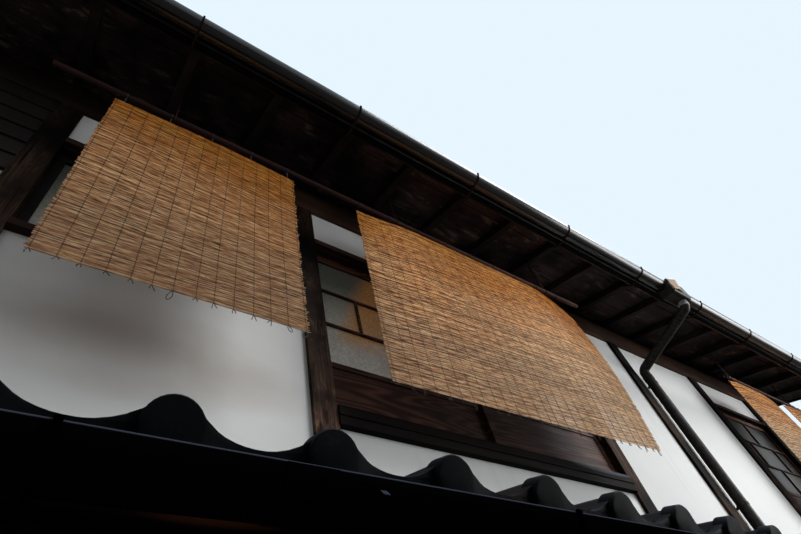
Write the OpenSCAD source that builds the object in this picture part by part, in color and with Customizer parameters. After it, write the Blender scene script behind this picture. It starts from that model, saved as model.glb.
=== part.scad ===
// Two storey timber town house of a row: plaster between posts, tiled eaves and reed shades
// Millimetres, +Z up, the street side faces -Y, origin on the ground in the middle of the plan

/* [Plan] */
// Bay with the board panel, post centre to post centre
board_bay = 985; // [900:5:1100]
// Bay with the high window
high_bay = 1240; // [1100:5:1400]
// Bay with the two full sashes, and the entrance below
window_bay = 1975; // [1800:5:2150]
// Plain plaster bay
plain_bay = 1010; // [900:5:1150]
// Plain plaster bay that the downpipe runs on
pipe_bay = 1270; // [1100:5:1400]
// Each of the two bays with one sash
single_bay = 1090; // [1000:5:1200]
// Front posts to back posts, centre to centre
depth = 5910; // [4800:10:6500]
// Side of a square post
post_w = 105; // [95:1:120]
// Thickness of the plaster walls
plaster_t = 65; // [50:1:70]
// How far the plaster lies behind the face of the posts
plaster_set = 20; // [10:1:30]

/* [Heights] */
// Height of the base stones above the ground
stone_h = 100; // [60:5:150]
// Height of the ground sill
ground_sill_h = 105; // [90:1:120]
// Underside of the lower window sills
lower_sill_z = 850; // [700:10:900]
// Underside of the lower lintels
lower_head_z = 1900; // [1850:5:1920]
// Underside of the middle beams
middle_beam_z = 2330; // [2320:5:2340]
// Height of the middle beams
middle_beam_h = 180; // [150:5:200]
// Underside of the upper window sills
sill_z = 2950; // [2900:5:3000]
// Underside of the high window sill
high_sill_z = 3471; // [3455:1:3500]
// Thickness of the high window's sill board
high_sill_t = 34; // [28:1:45]
// Underside of the upper lintels
head_z = 4160; // [4120:5:4200]
// Underside of the wall beams below the upper eave
beam_z = 4495; // [4450:5:4520]
// Height of the wall beams at their outer face
beam_h = 212; // [180:2:240]
// Height of each lintel
lintel_h = 40; // [36:1:60]
// Height of the track member of a window sill
track_h = 45; // [36:1:55]
// Height of the apron member of a window sill
apron_h = 42; // [30:1:55]
// Thickness of the upper floor boards
floor_t = 30; // [18:1:45]
// Height of the floor joists
joist_h = 120; // [90:5:150]
// Width of the floor joists
joist_w = 60; // [45:1:90]

/* [Sashes] */
// Thickness of a sash
sash_t = 24; // [20:1:26]
// Width of the stiles
stile_w = 36; // [28:1:45]
// Height of the top rail that shows
top_rail_h = 50; // [35:1:60]
// Height of the bottom rail
bottom_rail_h = 65; // [45:1:80]
// Height of the rail over the wood panel
panel_rail_h = 30; // [24:1:40]
// Height of the wood panel of an upper sash
panel_h = 218; // [160:2:260]
// Side of a glazing bar
bar_w = 13; // [10:1:18]
// Thickness of the glass
glass_t = 3; // [2:0.5:4]
// Thickness of the wood panel
panel_t = 6; // [4:1:8]
// Face of the outer sash behind the face of the posts
outer_sash_set = 43; // [40:1:46]
// Face of the inner sash behind the face of the posts
inner_sash_set = 70; // [69:0.5:72]
// Depth of the lintel tracks that the sashes stand in
groove_d = 10; // [6:1:12]
// Running gap round a sash
run_gap = 0.3; // [0.2:0.1:0.6]

/* [Upper roof] */
// Rise of the roof for each unit of run
roof_slope = 0.35; // [0.3:0.01:0.4]
// Width of a rafter
rafter_w = 45; // [36:1:60]
// Depth of a rafter
rafter_h = 60; // [50:1:75]
// Rafter spacing
rafter_pitch = 434; // [400:1:440]
// First rafter from the centre of the end post
rafter_first = 78; // [76:1:100]
// Thickness of the roof boards
board_t = 12; // [9:1:18]
// Outer face of the upper fascia from the face of the posts
fascia_out = 570; // [540:1:572]
// Thickness of a fascia
fascia_t = 25; // [18:1:30]
// Underside of the upper fascia
fascia_z = 4485; // [4470:1:4495]
// Tile edge of the upper eave from the face of the posts
tile_out = 600; // [596:1:606]
// Overhang of the roof past the party walls
verge = 35; // [10:1:60]
// Width of the ridge beam
ridge_w = 120; // [105:1:150]
// Height of the ridge beam at its sides
ridge_h = 150; // [120:1:180]

/* [Lower roof] */
// Rise of the lower roof for each unit of run
pent_slope = 0.38; // [0.35:0.01:0.4]
// Underside of the lower rafters at the face of the posts
pent_seat_z = 2396; // [2390:1:2410]
// Tile edge of the lower eave from the face of the posts
pent_out = 715; // [712:1:722]
// Outer face of the lower fascia from the face of the posts
pent_fascia_out = 690; // [680:1:694]
// Width of the lower rafters
pent_rafter_w = 40; // [30:1:50]
// Depth of the lower rafters
pent_rafter_h = 50; // [40:1:55]
// Centre of the eave purlin from the face of the posts
purlin_out = 480; // [440:5:520]
// Width of the eave purlin
purlin_w = 90; // [75:1:105]
// Underside of the eave purlin
purlin_z = 2108; // [2095:1:2115]
// Width of the arms that carry the purlin
arm_w = 60; // [50:1:75]
// Height of the arms
arm_h = 90; // [75:1:100]
// Thickness of the ledger at the wall
ledger_t = 45; // [36:1:60]

/* [Tiles] */
// Width of a tile from roll to roll
tile_pitch = 257.8; // [245:0.1:275]
// First roll from the edge of the roof
tile_first = 34.9; // [20:0.1:80]
// Tile and bedding above the boards in the troughs
tile_t = 45; // [35:1:60]
// Height of a roll above the trough
roll_h = 50; // [36:1:60]
// Radius of the crown of a roll
roll_r = 45; // [38:1:55]
// Tile courses on the lower roof
pent_courses = 4; // [3:1:5]
// Step from one course to the next
course_step = 12; // [6:1:16]
// Radius of the round end of an eave tile
end_r = 45.5; // [38:0.5:50]
// Thickness of the rim of the round end
end_t = 12; // [6:1:16]
// Height of the dome on the round end
end_dome = 5; // [3:1:10]

/* [Gutters] */
// Outside diameter of the gutters
gutter_d = 104; // [90:1:110]
// Wall of the gutters
gutter_t = 3; // [2:0.5:4]
// Rim of the upper gutter
gutter_z = 4540; // [4530:1:4548]
// Outer rim of the upper gutter from the face of the posts
gutter_out = 686; // [676:1:700]
// Rim of the lower gutter
pent_gutter_z = 2162; // [2154:1:2168]
// Outer rim of the lower gutter from the face of the posts
pent_gutter_out = 810; // [806:1:830]
// Radius of the bead along the outer rim
bead_r = 4; // [3:0.5:6]
// Width of the iron hoops
hoop_w = 10; // [8:1:18]
// Thickness of the iron hoops
hoop_t = 4; // [3:0.5:6]
// Outside diameter of the downpipes
pipe_d = 75; // [60:1:80]
// Wall of the downpipes
pipe_t = 3; // [2:0.5:4]
// Distance from the plaster to the downpipe
pipe_gap = 15; // [10:1:40]
// Centre of the downpipe from the post beside it
pipe_from_post = 127; // [110:1:200]

/* [Shades] */
// Diameter of the shade poles
pole_d = 28; // [22:1:36]
// Centre of the poles from the face of the posts
pole_out = 245; // [200:5:300]
// Centre of the poles above the ground
pole_z = 4322; // [4250:2:4350]
// Left end of the long pole from the centre of the plan
long_pole_x = -3442; // [-3500:2:-3380]
// Length of the long pole
long_pole_l = 3469; // [3400:1:3550]
// Left end of the short pole from the centre of the plan
short_pole_x = 2234; // [2200:2:2300]
// Length of the short pole
short_pole_l = 1970; // [1900:1:2050]
// Width of a narrow shade
shade_w = 870; // [800:5:960]
// Length of the high window's shade
left_shade_l = 1150; // [1000:5:1250]
// Length of the other shades
shade_l = 1255; // [1100:5:1300]
// Thickness of the reed sheet of a shade
shade_t = 8; // [5:1:12]
// Drop from the pole to a shade's top
shade_drop = 8; // [6:1:20]
// Drop from the pole to the top of the high window's shade
left_shade_drop = 55; // [8:1:80]
// Centre of the high window's shade from the centre of the plan
left_shade_x = -2740; // [-2800:2:-2700]
// Centre of the wide shade from the centre of the plan
middle_shade_x = -1050; // [-1100:1:-1000]
// Centre of the first shade of the short pole from the centre of the plan
right_shade_x = 2600; // [2550:2:2650]
// Centre of the last shade from the right end of the short pole
end_shade_in = 494; // [450:2:540]

/* [Hidden] */
$fn = 48;
// How far a cut runs past a face, and a joined piece into its neighbour
over = 1;

// Plan
bays = [board_bay, high_bay, window_bay, plain_bay, pipe_bay, single_bay, single_bay];
last_post = len(bays);
function bays_before(i) = i == 0 ? 0 : bays[i - 1] + bays_before(i - 1);
house_l = bays_before(last_post);
function post_x(i) = bays_before(i) - house_l / 2;
wall_x = house_l / 2 + post_w / 2;
face_y = -(depth + post_w) / 2;
inner_y = face_y + post_w;
roof_x = wall_x + verge;

// Kinds of bay, left to right
BOARDED = 0;
HIGH = 1;
DOUBLE = 2;
PLAIN = 3;
SINGLE = 4;
bay_kinds = [BOARDED, HIGH, DOUBLE, PLAIN, PLAIN, SINGLE, SINGLE];
upper_windows = [for (i = [0:last_post - 1]) if (bay_kinds[i] != BOARDED && bay_kinds[i] != PLAIN) i];
high_window = 1;
middle_window = 2;
door_bay = 2;
pipe_post = 4;
lower_windows = [1, 4, 5, 6];

// Levels
ground_sill_top = stone_h + ground_sill_h;
sill_h = apron_h + track_h;
middle_beam_top = middle_beam_z + middle_beam_h;
rafter_seat_z = beam_z + beam_h;
roof_angle = atan(roof_slope);
pent_angle = atan(pent_slope);
rafter_v = rafter_h / cos(roof_angle);
board_v = board_t / cos(roof_angle);
pent_rafter_v = pent_rafter_h / cos(pent_angle);
pent_board_v = board_t / cos(pent_angle);
rafter_n = floor((house_l - rafter_first) / rafter_pitch) + 1;
function rafter_x(i) = -house_l / 2 + rafter_first + i * rafter_pitch;

// Height of the rafters' underside at a distance out from the posts, on each roof
function roof_low(out) = rafter_seat_z - roof_slope * out;
function pent_low(out) = pent_seat_z - pent_slope * out;

// Moves from the ground sill to every piece of the back: the back repeats the front
module front_and_back() {
  children();
  mirror([0, 1, 0]) children();
}

// A solid along X from x0 to x1, its outline in distances out from the posts and heights
module run_of(x0, x1) {
  translate([x0, face_y, 0]) rotate([90, 0, 90]) linear_extrude(x1 - x0)
    mirror([1, 0]) children();
}

// A box between two bounds along X, from in0 to in1 behind the face of the posts
module block(x0, x1, in0, in1, z0, z1) {
  translate([x0, face_y + in0, z0]) cube([x1 - x0, in1 - in0, z1 - z0]);
}

function bay_x0(i) = post_x(i) + post_w / 2;
function bay_x1(i) = post_x(i + 1) - post_w / 2;

// A box that fills one bay from post to post
module bay_block(i, in0, in1, z0, z1) {
  block(bay_x0(i), bay_x1(i), in0, in1, z0, z1);
}

// Base

stone_out = 20;
stone_joint = 4;
stone_deep = 145;

module base_stones() {
  color("dimgray") {
    front_and_back() for (i = [0:last_post - 1])
      block(max(post_x(i), -wall_x) - (i == 0 ? post_w / 2 : 0),
        post_x(i + 1) + (i == last_post - 1 ? post_w / 2 : -stone_joint),
        -stone_out, stone_deep - stone_out, 0, stone_h);
    for (side = [-1, 1], half = [-1, 1])
      translate([side > 0 ? wall_x - stone_deep : -wall_x,
        half > 0 ? stone_joint / 2 : -side_stone_l - stone_joint / 2, 0])
        cube([stone_deep, side_stone_l, stone_h]);
  }
}
side_stone_l = -face_y - stone_deep + stone_out - 3 * stone_joint / 2;

floor_gap = 0.3;
module ground_floor() {
  color("gray")
    translate([-wall_x + stone_deep + floor_gap, face_y + stone_deep - stone_out + floor_gap, 0])
      cube([2 * (wall_x - stone_deep - floor_gap),
        -2 * (face_y + stone_deep - stone_out + floor_gap), stone_h]);
}

module ground_sills() {
  color("saddlebrown") front_and_back() for (i = [0:last_post - 1])
    if (i != door_bay) bay_block(i, 0, post_w, stone_h, ground_sill_top);
}

// Frame

module posts() {
  for (i = [0:last_post])
    block(post_x(i) - post_w / 2, post_x(i) + post_w / 2, 0, post_w, stone_h, beam_z);
}

module front_posts() {
  color("saddlebrown") posts();
}

module back_posts() {
  color("saddlebrown") mirror([0, 1, 0]) posts();
}

module middle_beams() {
  color("saddlebrown") front_and_back() for (i = [0:last_post - 1])
    bay_block(i, 0, post_w, middle_beam_z, middle_beam_top);
}

module wall_beams() {
  color("saddlebrown") front_and_back() run_of(-wall_x, wall_x)
    polygon([[0, beam_z], [-post_w, beam_z], [-post_w, roof_low(-post_w)], [0, roof_low(0)]]);
}

ridge_top = roof_low(face_y);
module ridge_beam() {
  side_z = roof_low(face_y + ridge_w / 2);
  color("saddlebrown") translate([-wall_x + post_w, 0, 0]) rotate([90, 0, 90])
    linear_extrude(2 * (wall_x - post_w))
      polygon([[-ridge_w / 2, side_z - ridge_h], [ridge_w / 2, side_z - ridge_h],
        [ridge_w / 2, side_z], [0, ridge_top], [-ridge_w / 2, side_z]]);
}

// A gabled wall between the end posts, up to the roof boards
module party_wall(side) {
  eave = roof_low(-post_w) + rafter_v;
  color("gainsboro") translate([side > 0 ? wall_x - post_w : -wall_x, 0, 0])
    rotate([90, 0, 90]) linear_extrude(post_w)
      polygon([[inner_y, stone_h], [-inner_y, stone_h], [-inner_y, eave],
        [0, ridge_top + rafter_v], [inner_y, eave]]);
}

module left_party_wall() {
  party_wall(-1);
}

module right_party_wall() {
  party_wall(1);
}

module upper_floor() {
  color("peru") translate([-wall_x + post_w, inner_y, middle_beam_top])
    cube([2 * (wall_x - post_w), -2 * inner_y, floor_t]);
}

joist_edge = 60;
module floor_joists() {
  color("saddlebrown") for (i = [0:last_post - 1], end = [0, 0.5])
    translate([bay_x0(i) + joist_edge + end * bays[i], inner_y, middle_beam_top - joist_h])
      cube([joist_w, -2 * inner_y, joist_h]);
}

// Plaster

function upper_sill_z(kind) = kind == HIGH ? high_sill_z : sill_z;
function upper_sill_top(kind) = kind == HIGH ? high_sill_z + high_sill_t : sill_z + sill_h;

module plaster_piece(i, z0, z1) {
  bay_block(i, plaster_set, plaster_set + plaster_t, z0, z1);
}

module plaster() {
  for (i = [0:last_post - 1]) {
    if (bay_kinds[i] == BOARDED || bay_kinds[i] == PLAIN)
      plaster_piece(i, middle_beam_top, beam_z);
    else {
      plaster_piece(i, middle_beam_top, upper_sill_z(bay_kinds[i]));
      plaster_piece(i, head_z + lintel_h, beam_z);
    }
    if (i == door_bay)
      plaster_piece(i, lower_head_z + lintel_h, middle_beam_z);
    else if (len(search(i, lower_windows)) > 0) {
      plaster_piece(i, ground_sill_top, lower_sill_z);
      plaster_piece(i, lower_head_z + lintel_h, middle_beam_z);
    }
    else
      plaster_piece(i, ground_sill_top, middle_beam_z);
  }
}

module front_plaster() {
  color("whitesmoke") plaster();
}

module back_plaster() {
  color("whitesmoke") mirror([0, 1, 0]) plaster();
}

// Boards with battened joints over the upper part of the end bay
board_panel_t = 18;
board_panel_z = 3800;
board_panel_n = 6;
module board_panel() {
  board_h = (beam_z - board_panel_z) / board_panel_n;
  color("sienna") run_of(bay_x0(0), bay_x1(0)) polygon(concat(
    [[-plaster_set, board_panel_z], [-plaster_set, beam_z]],
    [for (k = [board_panel_n:-1:1]) each [
      [-plaster_set + board_panel_t / 2, board_panel_z + k * board_h],
      [-plaster_set + board_panel_t, board_panel_z + (k - 1) * board_h]]]));
}

// Window frames: a lintel with three tracks, and a sill of a track member over an apron

shutter_track = 10;
track_w = 22;
sill_out = 15;
apron_out = 10;

module lintel(i, z) {
  slots = [[shutter_track, track_w], [outer_sash_set - run_gap, sash_t + 2 * run_gap],
    [inner_sash_set - run_gap, sash_t + 2 * run_gap]];
  run_of(bay_x0(i), bay_x1(i)) difference() {
    translate([-post_w, z]) square([post_w, lintel_h]);
    for (s = slots) translate([-s[0] - s[1], z - over]) square([s[1], groove_d + over]);
  }
}

module sill(i, z) {
  bay_block(i, -apron_out, post_w, z, z + apron_h - run_gap);
  bay_block(i, -sill_out, post_w, z + apron_h, z + sill_h);
}

module window_frames() {
  for (i = upper_windows) {
    lintel(i, head_z);
    if (bay_kinds[i] == HIGH)
      bay_block(i, -sill_out, post_w, high_sill_z, high_sill_z + high_sill_t);
    else
      sill(i, sill_z);
  }
  for (i = lower_windows) {
    lintel(i, lower_head_z);
    sill(i, lower_sill_z);
  }
  lintel(door_bay, lower_head_z);
  bay_block(door_bay, 0, post_w, stone_h, stone_h + track_h);
}

module front_window_frames() {
  color("sienna") window_frames();
}

module back_window_frames() {
  color("sienna") mirror([0, 1, 0]) window_frames();
}

// Sashes: rails, stiles, staggered glazing bars and a wood panel below the glass

groove_fit = groove_d - run_gap;
bar_bite = 2;
glass_set = bar_w + run_gap;

// Bounds of the glass in a sash of width w and height h over a panel of height p
function glass_z0(p) = bottom_rail_h + (p > 0 ? p + panel_rail_h : 0);
function glass_z1(h) = h - groove_fit - top_rail_h;

module sash(w, h, rows, p) {
  gz0 = glass_z0(p);
  gz1 = glass_z1(h);
  row_h = (gz1 - gz0) / rows;
  glass_w = w - 2 * stile_w;
  rotate([90, 0, 0]) translate([0, 0, -sash_t]) linear_extrude(sash_t) difference() {
    square([w, h]);
    translate([stile_w, gz0]) square([glass_w, gz1 - gz0]);
    if (p > 0) translate([stile_w, bottom_rail_h]) square([glass_w, p]);
  }
  if (p > 0) translate([stile_w - bar_bite, panel_t, bottom_rail_h - bar_bite])
    cube([glass_w + 2 * bar_bite, panel_t, p + 2 * bar_bite]);
  if (rows > 1) {
    for (r = [1:rows - 1])
      translate([stile_w - bar_bite, 0, gz0 + r * row_h - bar_w / 2])
        cube([glass_w + 2 * bar_bite, bar_w, bar_w]);
    for (r = [0:rows - 1], f = r % 2 == 0 ? [0.5] : [0.25, 0.75])
      translate([stile_w + f * glass_w - bar_w / 2, 0, gz0 + r * row_h - bar_bite])
        cube([bar_w, bar_w, row_h + 2 * bar_bite]);
  }
}

module sash_glass(w, h, p) {
  gz0 = glass_z0(p);
  translate([stile_w + run_gap, glass_set, gz0 + run_gap])
    cube([w - 2 * (stile_w + run_gap), glass_t, glass_z1(h) - gz0 - 2 * run_gap]);
}

// One or two sashes of a bay standing on z0 below a lintel at z1; draws glass instead if asked
module bay_sashes(i, z0, z1, count, rows, p, glass) {
  clear_w = bay_x1(i) - bay_x0(i) - 2 * run_gap;
  w = count == 1 ? clear_w : (clear_w + stile_w) / 2;
  h = z1 - z0 + groove_fit;
  for (k = [0:count - 1])
    translate([k == 0 ? bay_x0(i) + run_gap : bay_x1(i) - run_gap - w,
      face_y + (k == count - 1 ? outer_sash_set : inner_sash_set), z0])
      if (glass)
        sash_glass(w, h, p);
      else
        sash(w, h, rows, p);
}

module upper_bay_sashes(i, glass) {
  kind = bay_kinds[i];
  bay_sashes(i, upper_sill_top(kind), head_z, kind == SINGLE ? 1 : 2,
    kind == HIGH ? 1 : 3, kind == HIGH ? 0 : panel_h, glass);
}

module lower_sashes(glass) {
  for (i = lower_windows)
    bay_sashes(i, lower_sill_z + sill_h, lower_head_z, bay_kinds[i] == SINGLE ? 1 : 2, 3, 0, glass);
}

door_rows = 5;
door_panel_h = 420;
module doors(glass) {
  bay_sashes(door_bay, stone_h + track_h, lower_head_z, 2, door_rows, door_panel_h, glass);
}

module left_window_sashes() {
  color("peru") upper_bay_sashes(high_window, false);
}

module middle_window_sashes() {
  color("peru") upper_bay_sashes(middle_window, false);
}

module right_window_sashes() {
  color("peru") for (i = upper_windows) if (bay_kinds[i] == SINGLE) upper_bay_sashes(i, false);
}

module back_window_sashes() {
  color("peru") mirror([0, 1, 0]) for (i = upper_windows) upper_bay_sashes(i, false);
}

module lower_window_sashes() {
  color("peru") front_and_back() lower_sashes(false);
}

module entrance_doors() {
  color("peru") front_and_back() doors(false);
}

module window_glass() {
  color("lightblue", 0.5) front_and_back() {
    for (i = upper_windows) upper_bay_sashes(i, true);
    lower_sashes(true);
    doors(true);
  }
}

// Upper roof

ridge_gap = 0.25;

// A sloped layer of the roof from z0 to z1 above the rafters' underside, out0 to out1
module roof_layer(x0, x1, out0, out1, z0, z1) {
  run_of(x0, x1) polygon([[out0, roof_low(out0) + z0], [out1, roof_low(out1) + z0],
    [out1, roof_low(out1) + z1], [out0, roof_low(out0) + z1]]);
}

module roof_rafters() {
  color("saddlebrown") front_and_back() for (i = [0:rafter_n - 1])
    roof_layer(rafter_x(i) - rafter_w / 2, rafter_x(i) + rafter_w / 2,
      face_y + ridge_gap, fascia_out - fascia_t, 0, rafter_v);
}

// Boards on the wall beams that close the space between the rafters
blocking_t = 25;
blocking_gap = 0.2;
module eave_blocking() {
  color("saddlebrown") front_and_back() for (i = [0:rafter_n]) {
    x0 = i == 0 ? -wall_x : rafter_x(i - 1) + rafter_w / 2 + blocking_gap;
    x1 = i == rafter_n ? wall_x : rafter_x(i) - rafter_w / 2 - blocking_gap;
    roof_layer(x0, x1, -post_w / 2, -post_w / 2 + blocking_t, 0, rafter_v);
  }
}

board_out = 20;
module roof_boards() {
  color("sienna") front_and_back()
    roof_layer(-roof_x, roof_x, face_y + ridge_gap, fascia_out + board_out,
      rafter_v, rafter_v + board_v);
}

module eave_fascias() {
  color("dimgray") front_and_back() {
    run_of(-roof_x, roof_x) polygon([
      [fascia_out, fascia_z], [fascia_out, roof_low(fascia_out) + rafter_v],
      [fascia_out - fascia_t, roof_low(fascia_out - fascia_t) + rafter_v],
      [fascia_out - fascia_t, fascia_z]]);
    run_of(-roof_x, roof_x) polygon([
      [pent_fascia_out, pent_fascia_z],
      [pent_fascia_out, pent_low(pent_fascia_out) + pent_rafter_v],
      [pent_fascia_out - fascia_t, pent_low(pent_fascia_out - fascia_t) + pent_rafter_v],
      [pent_fascia_out - fascia_t, pent_fascia_z]]);
  }
}
pent_fascia_z = pent_low(pent_fascia_out) - fascia_t;

// Pan tiles: crown arcs joined to trough arcs, one roll after another

arc_angle = 2 * atan(2 * roll_h / tile_pitch);
trough_r = tile_pitch / 2 / sin(arc_angle) - roll_r;
trough_steps = 3;
crown_steps = 4;
roll_n = floor((2 * roof_x - tile_first) / tile_pitch) + 1;
function roll_x(i) = -roof_x + tile_first + i * tile_pitch;

function trough_arc(side) = [for (k = [0:trough_steps - 1])
  let (a = arc_angle * k / trough_steps)
    [side * (tile_pitch / 2 - trough_r * sin(a)), trough_r * (1 - cos(a))]];
function crown_arc() = [for (k = [0:crown_steps])
  let (a = arc_angle * (2 * k / crown_steps - 1))
    [roll_r * sin(a), roll_h - roll_r * (1 - cos(a))]];
function reversed(list) = [for (k = [len(list) - 1:-1:0]) list[k]];
function one_roll() = concat(trough_arc(-1), crown_arc(), reversed(trough_arc(1)));

// Height of the wavy top at a distance from the nearest crown
function wave_z(d) = d > tile_pitch / 2 ? 0 : d < roll_r * sin(arc_angle)
  ? roll_h - roll_r + sqrt(pow(roll_r, 2) - pow(d, 2))
  : trough_r - sqrt(pow(trough_r, 2) - pow(tile_pitch / 2 - d, 2));

end_clear = 1;
function wave(h) = [for (i = [0:roll_n - 1], q = one_roll())
  if (abs(roll_x(i) + q[0]) < roof_x - end_clear) [roll_x(i) + q[0], h + q[1]]];

// Outline of a whole course, from low to the tiles' wavy top at h above the boards
module course_outline(low, h) {
  h0 = h + wave_z(tile_first);
  h1 = h + wave_z(roof_x - roll_x(roll_n - 1));
  polygon(concat([[-roof_x, low], [-roof_x, h0]], wave(h), [[roof_x, h1], [roof_x, low]]));
}

// Draws its children in a frame at the top of a slope: X along the eave, Y up from it
// and Z down the slope
module on_slope(out, z, angle) {
  translate([0, face_y - out, z]) rotate([90 + angle, 0, 0]) children();
}

ridge_set = 30;
slope_l = (tile_out - face_y - ridge_set) / cos(roof_angle);
module upper_slope() {
  on_slope(face_y + ridge_set, roof_low(face_y + ridge_set) + rafter_v + board_v, roof_angle)
    children();
}

lip_t = 12;
lip_drop = 6;
module roof_tiles() {
  upper_slope() {
    linear_extrude(slope_l - lip_t) course_outline(0, tile_t);
    translate([0, 0, slope_l - lip_t]) linear_extrude(lip_t) course_outline(-lip_drop, tile_t);
  }
}

module front_roof_tiles() {
  color("slategray") roof_tiles();
}

module back_roof_tiles() {
  color("slategray") mirror([0, 1, 0]) roof_tiles();
}

// Ridge: three bands of flat tiles stepping in under a round capping
ridge_bands = 3;
band_h = 38;
band_w = 300;
band_step = 22;
cap_r = 75;
tile_gap = 0.3;
ridge_seat = roof_low(face_y + ridge_set) + rafter_v + board_v
  + (tile_t + roll_h) * cos(roof_angle) + tile_gap;
module ridge_tiles() {
  color("slategray") translate([ridge_end_t + tile_gap - roof_x, 0, ridge_seat]) rotate([90, 0, 90])
    linear_extrude(2 * (roof_x - ridge_end_t - tile_gap)) {
      for (k = [0:ridge_bands - 1])
        translate([-band_w / 2 + k * band_step, k * band_h])
          square([band_w - 2 * k * band_step, band_h + over]);
      translate([0, ridge_bands * band_h]) intersection() {
        circle(cap_r);
        translate([-cap_r, 0]) square([2 * cap_r, cap_r]);
      }
    }
}

// Shield that closes each end of the ridge: a round head on shoulders that flare to a foot
ridge_end_t = 60;
ridge_end_h = 250;
ridge_end_w = 380;
ridge_end_head = 95;
module ridge_end_tiles() {
  head_z = ridge_end_h - ridge_end_head;
  color("slategray") for (x = [-roof_x, roof_x - ridge_end_t])
    translate([x, 0, ridge_seat]) rotate([90, 0, 90]) linear_extrude(ridge_end_t) {
      translate([0, head_z]) circle(ridge_end_head);
      difference() {
        translate([-ridge_end_w / 2, 0]) square([ridge_end_w, head_z]);
        for (side = [-1, 1]) translate([side * ridge_end_w / 2, head_z])
          circle(ridge_end_w / 2 - ridge_end_head);
      }
    }
}

// Tiles that hang over the verges of both roofs
verge_t = 14;
verge_up = 30;
verge_down = 25;
module verge_tiles() {
  color("slategray") front_and_back() for (x = [-roof_x - tile_gap - verge_t, roof_x + tile_gap]) {
    roof_layer(x, x + verge_t, face_y + ridge_gap, tile_out - lip_t, rafter_v - verge_down,
      rafter_v + board_v + tile_t + verge_up);
    pent_layer(x, x + verge_t, 0, pent_out - lip_t, pent_rafter_v - verge_down,
      pent_rafter_v + pent_board_v + tile_t + verge_up);
  }
}

// Round end of an eave tile: a rim with a low dome that stands a little over the roll
end_rise = 7;
dome_r = (end_r * end_r + end_dome * end_dome) / (2 * end_dome);
module tile_end() {
  cylinder(r = end_r, h = end_t);
  translate([0, 0, end_t]) rotate_extrude() intersection() {
    translate([0, end_dome - dome_r]) circle(dome_r, $fn = 96);
    square([end_r, end_dome]);
  }
}

module row_of_ends() {
  for (i = [0:roll_n - 1]) translate([roll_x(i), tile_t + roll_h + end_rise - end_r, 0]) tile_end();
}

module eave_tile_ends() {
  color("slategray") front_and_back() {
    upper_slope() translate([0, 0, slope_l]) row_of_ends();
    pent_course(0) translate([0, 0, course_l]) row_of_ends();
  }
}

// Lower roof

module pent_layer(x0, x1, out0, out1, z0, z1) {
  run_of(x0, x1) polygon([[out0, pent_low(out0) + z0], [out1, pent_low(out1) + z0],
    [out1, pent_low(out1) + z1], [out0, pent_low(out0) + z1]]);
}

arm_past = 35;
arm_l = purlin_out + purlin_w / 2 + arm_past;
module pent_roof_arms() {
  color("saddlebrown") front_and_back() for (i = [0:last_post])
    block(post_x(i) - arm_w / 2, post_x(i) + arm_w / 2, -arm_l, 0, purlin_z - arm_h, purlin_z);
}

module pent_roof_purlins() {
  out0 = purlin_out - purlin_w / 2;
  out1 = purlin_out + purlin_w / 2;
  color("saddlebrown") front_and_back() {
    run_of(-wall_x, wall_x) polygon([[out0, purlin_z], [out1, purlin_z],
      [out1, pent_low(out1)], [out0, pent_low(out0)]]);
    run_of(-wall_x, wall_x) polygon([[0, middle_beam_z], [ledger_t, middle_beam_z],
      [ledger_t, pent_low(ledger_t)], [0, pent_low(0)]]);
  }
}

module pent_roof_rafters() {
  color("saddlebrown") front_and_back() for (i = [0:rafter_n - 1])
    pent_layer(rafter_x(i) - pent_rafter_w / 2, rafter_x(i) + pent_rafter_w / 2,
      0, pent_fascia_out - fascia_t, 0, pent_rafter_v);
}

pent_board_out = 15;
module pent_roof_boards() {
  color("sienna") front_and_back()
    pent_layer(-roof_x, roof_x, 0, pent_fascia_out + pent_board_out,
      pent_rafter_v, pent_rafter_v + pent_board_v);
}

// Courses lie a little flatter than the slope, so that each one steps over the next
course_run = pent_out / pent_courses;
slope_course = course_run / cos(pent_angle);
course_tilt = asin(course_step / slope_course);
course_l = slope_course * cos(course_tilt) - tile_gap;

module pent_course(i) {
  out = pent_out - (i + 1) * course_run;
  on_slope(out, pent_low(out) + pent_rafter_v + pent_board_v, pent_angle - course_tilt) children();
}

// Flat tiles along the wall above the lower roof
flash_w = 70;
flash_h = 60;
flash_gap = 2;
module pent_roof_tiles() {
  color("slategray") front_and_back() {
    for (i = [0:pent_courses - 1]) pent_course(i) linear_extrude(course_l) course_outline(0, tile_t);
    block(-wall_x, wall_x, -flash_w, 0, flash_z, flash_z + flash_h);
  }
}
flash_z = pent_seat_z + pent_rafter_v + pent_board_v + tile_t + roll_h + flash_gap;

// Gutters and their iron hoops

module gutter_outline(out, z) {
  r = gutter_d / 2;
  translate([out - r, z]) {
    difference() {
      circle(r);
      circle(r - gutter_t);
      translate([-r, 0]) square([2 * r, r]);
    }
    translate([r - bead_r, 0]) circle(bead_r);
  }
}

// A gutter from end to end of the roof, closed by a half round cap at each end
module gutter(out, z) {
  r = gutter_d / 2;
  run_of(-roof_x, roof_x) gutter_outline(out, z);
  for (x = [-roof_x, roof_x - gutter_t]) run_of(x, x + gutter_t) translate([out - r, z])
    difference() {
      circle(r - gutter_t / 2);
      translate([-r, 0]) square([2 * r, r]);
    }
}

module roof_gutters() {
  color("dimgray") front_and_back() gutter(gutter_out, gutter_z);
}

module pent_gutters() {
  color("dimgray") front_and_back() gutter(pent_gutter_out, pent_gutter_z);
}

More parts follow.
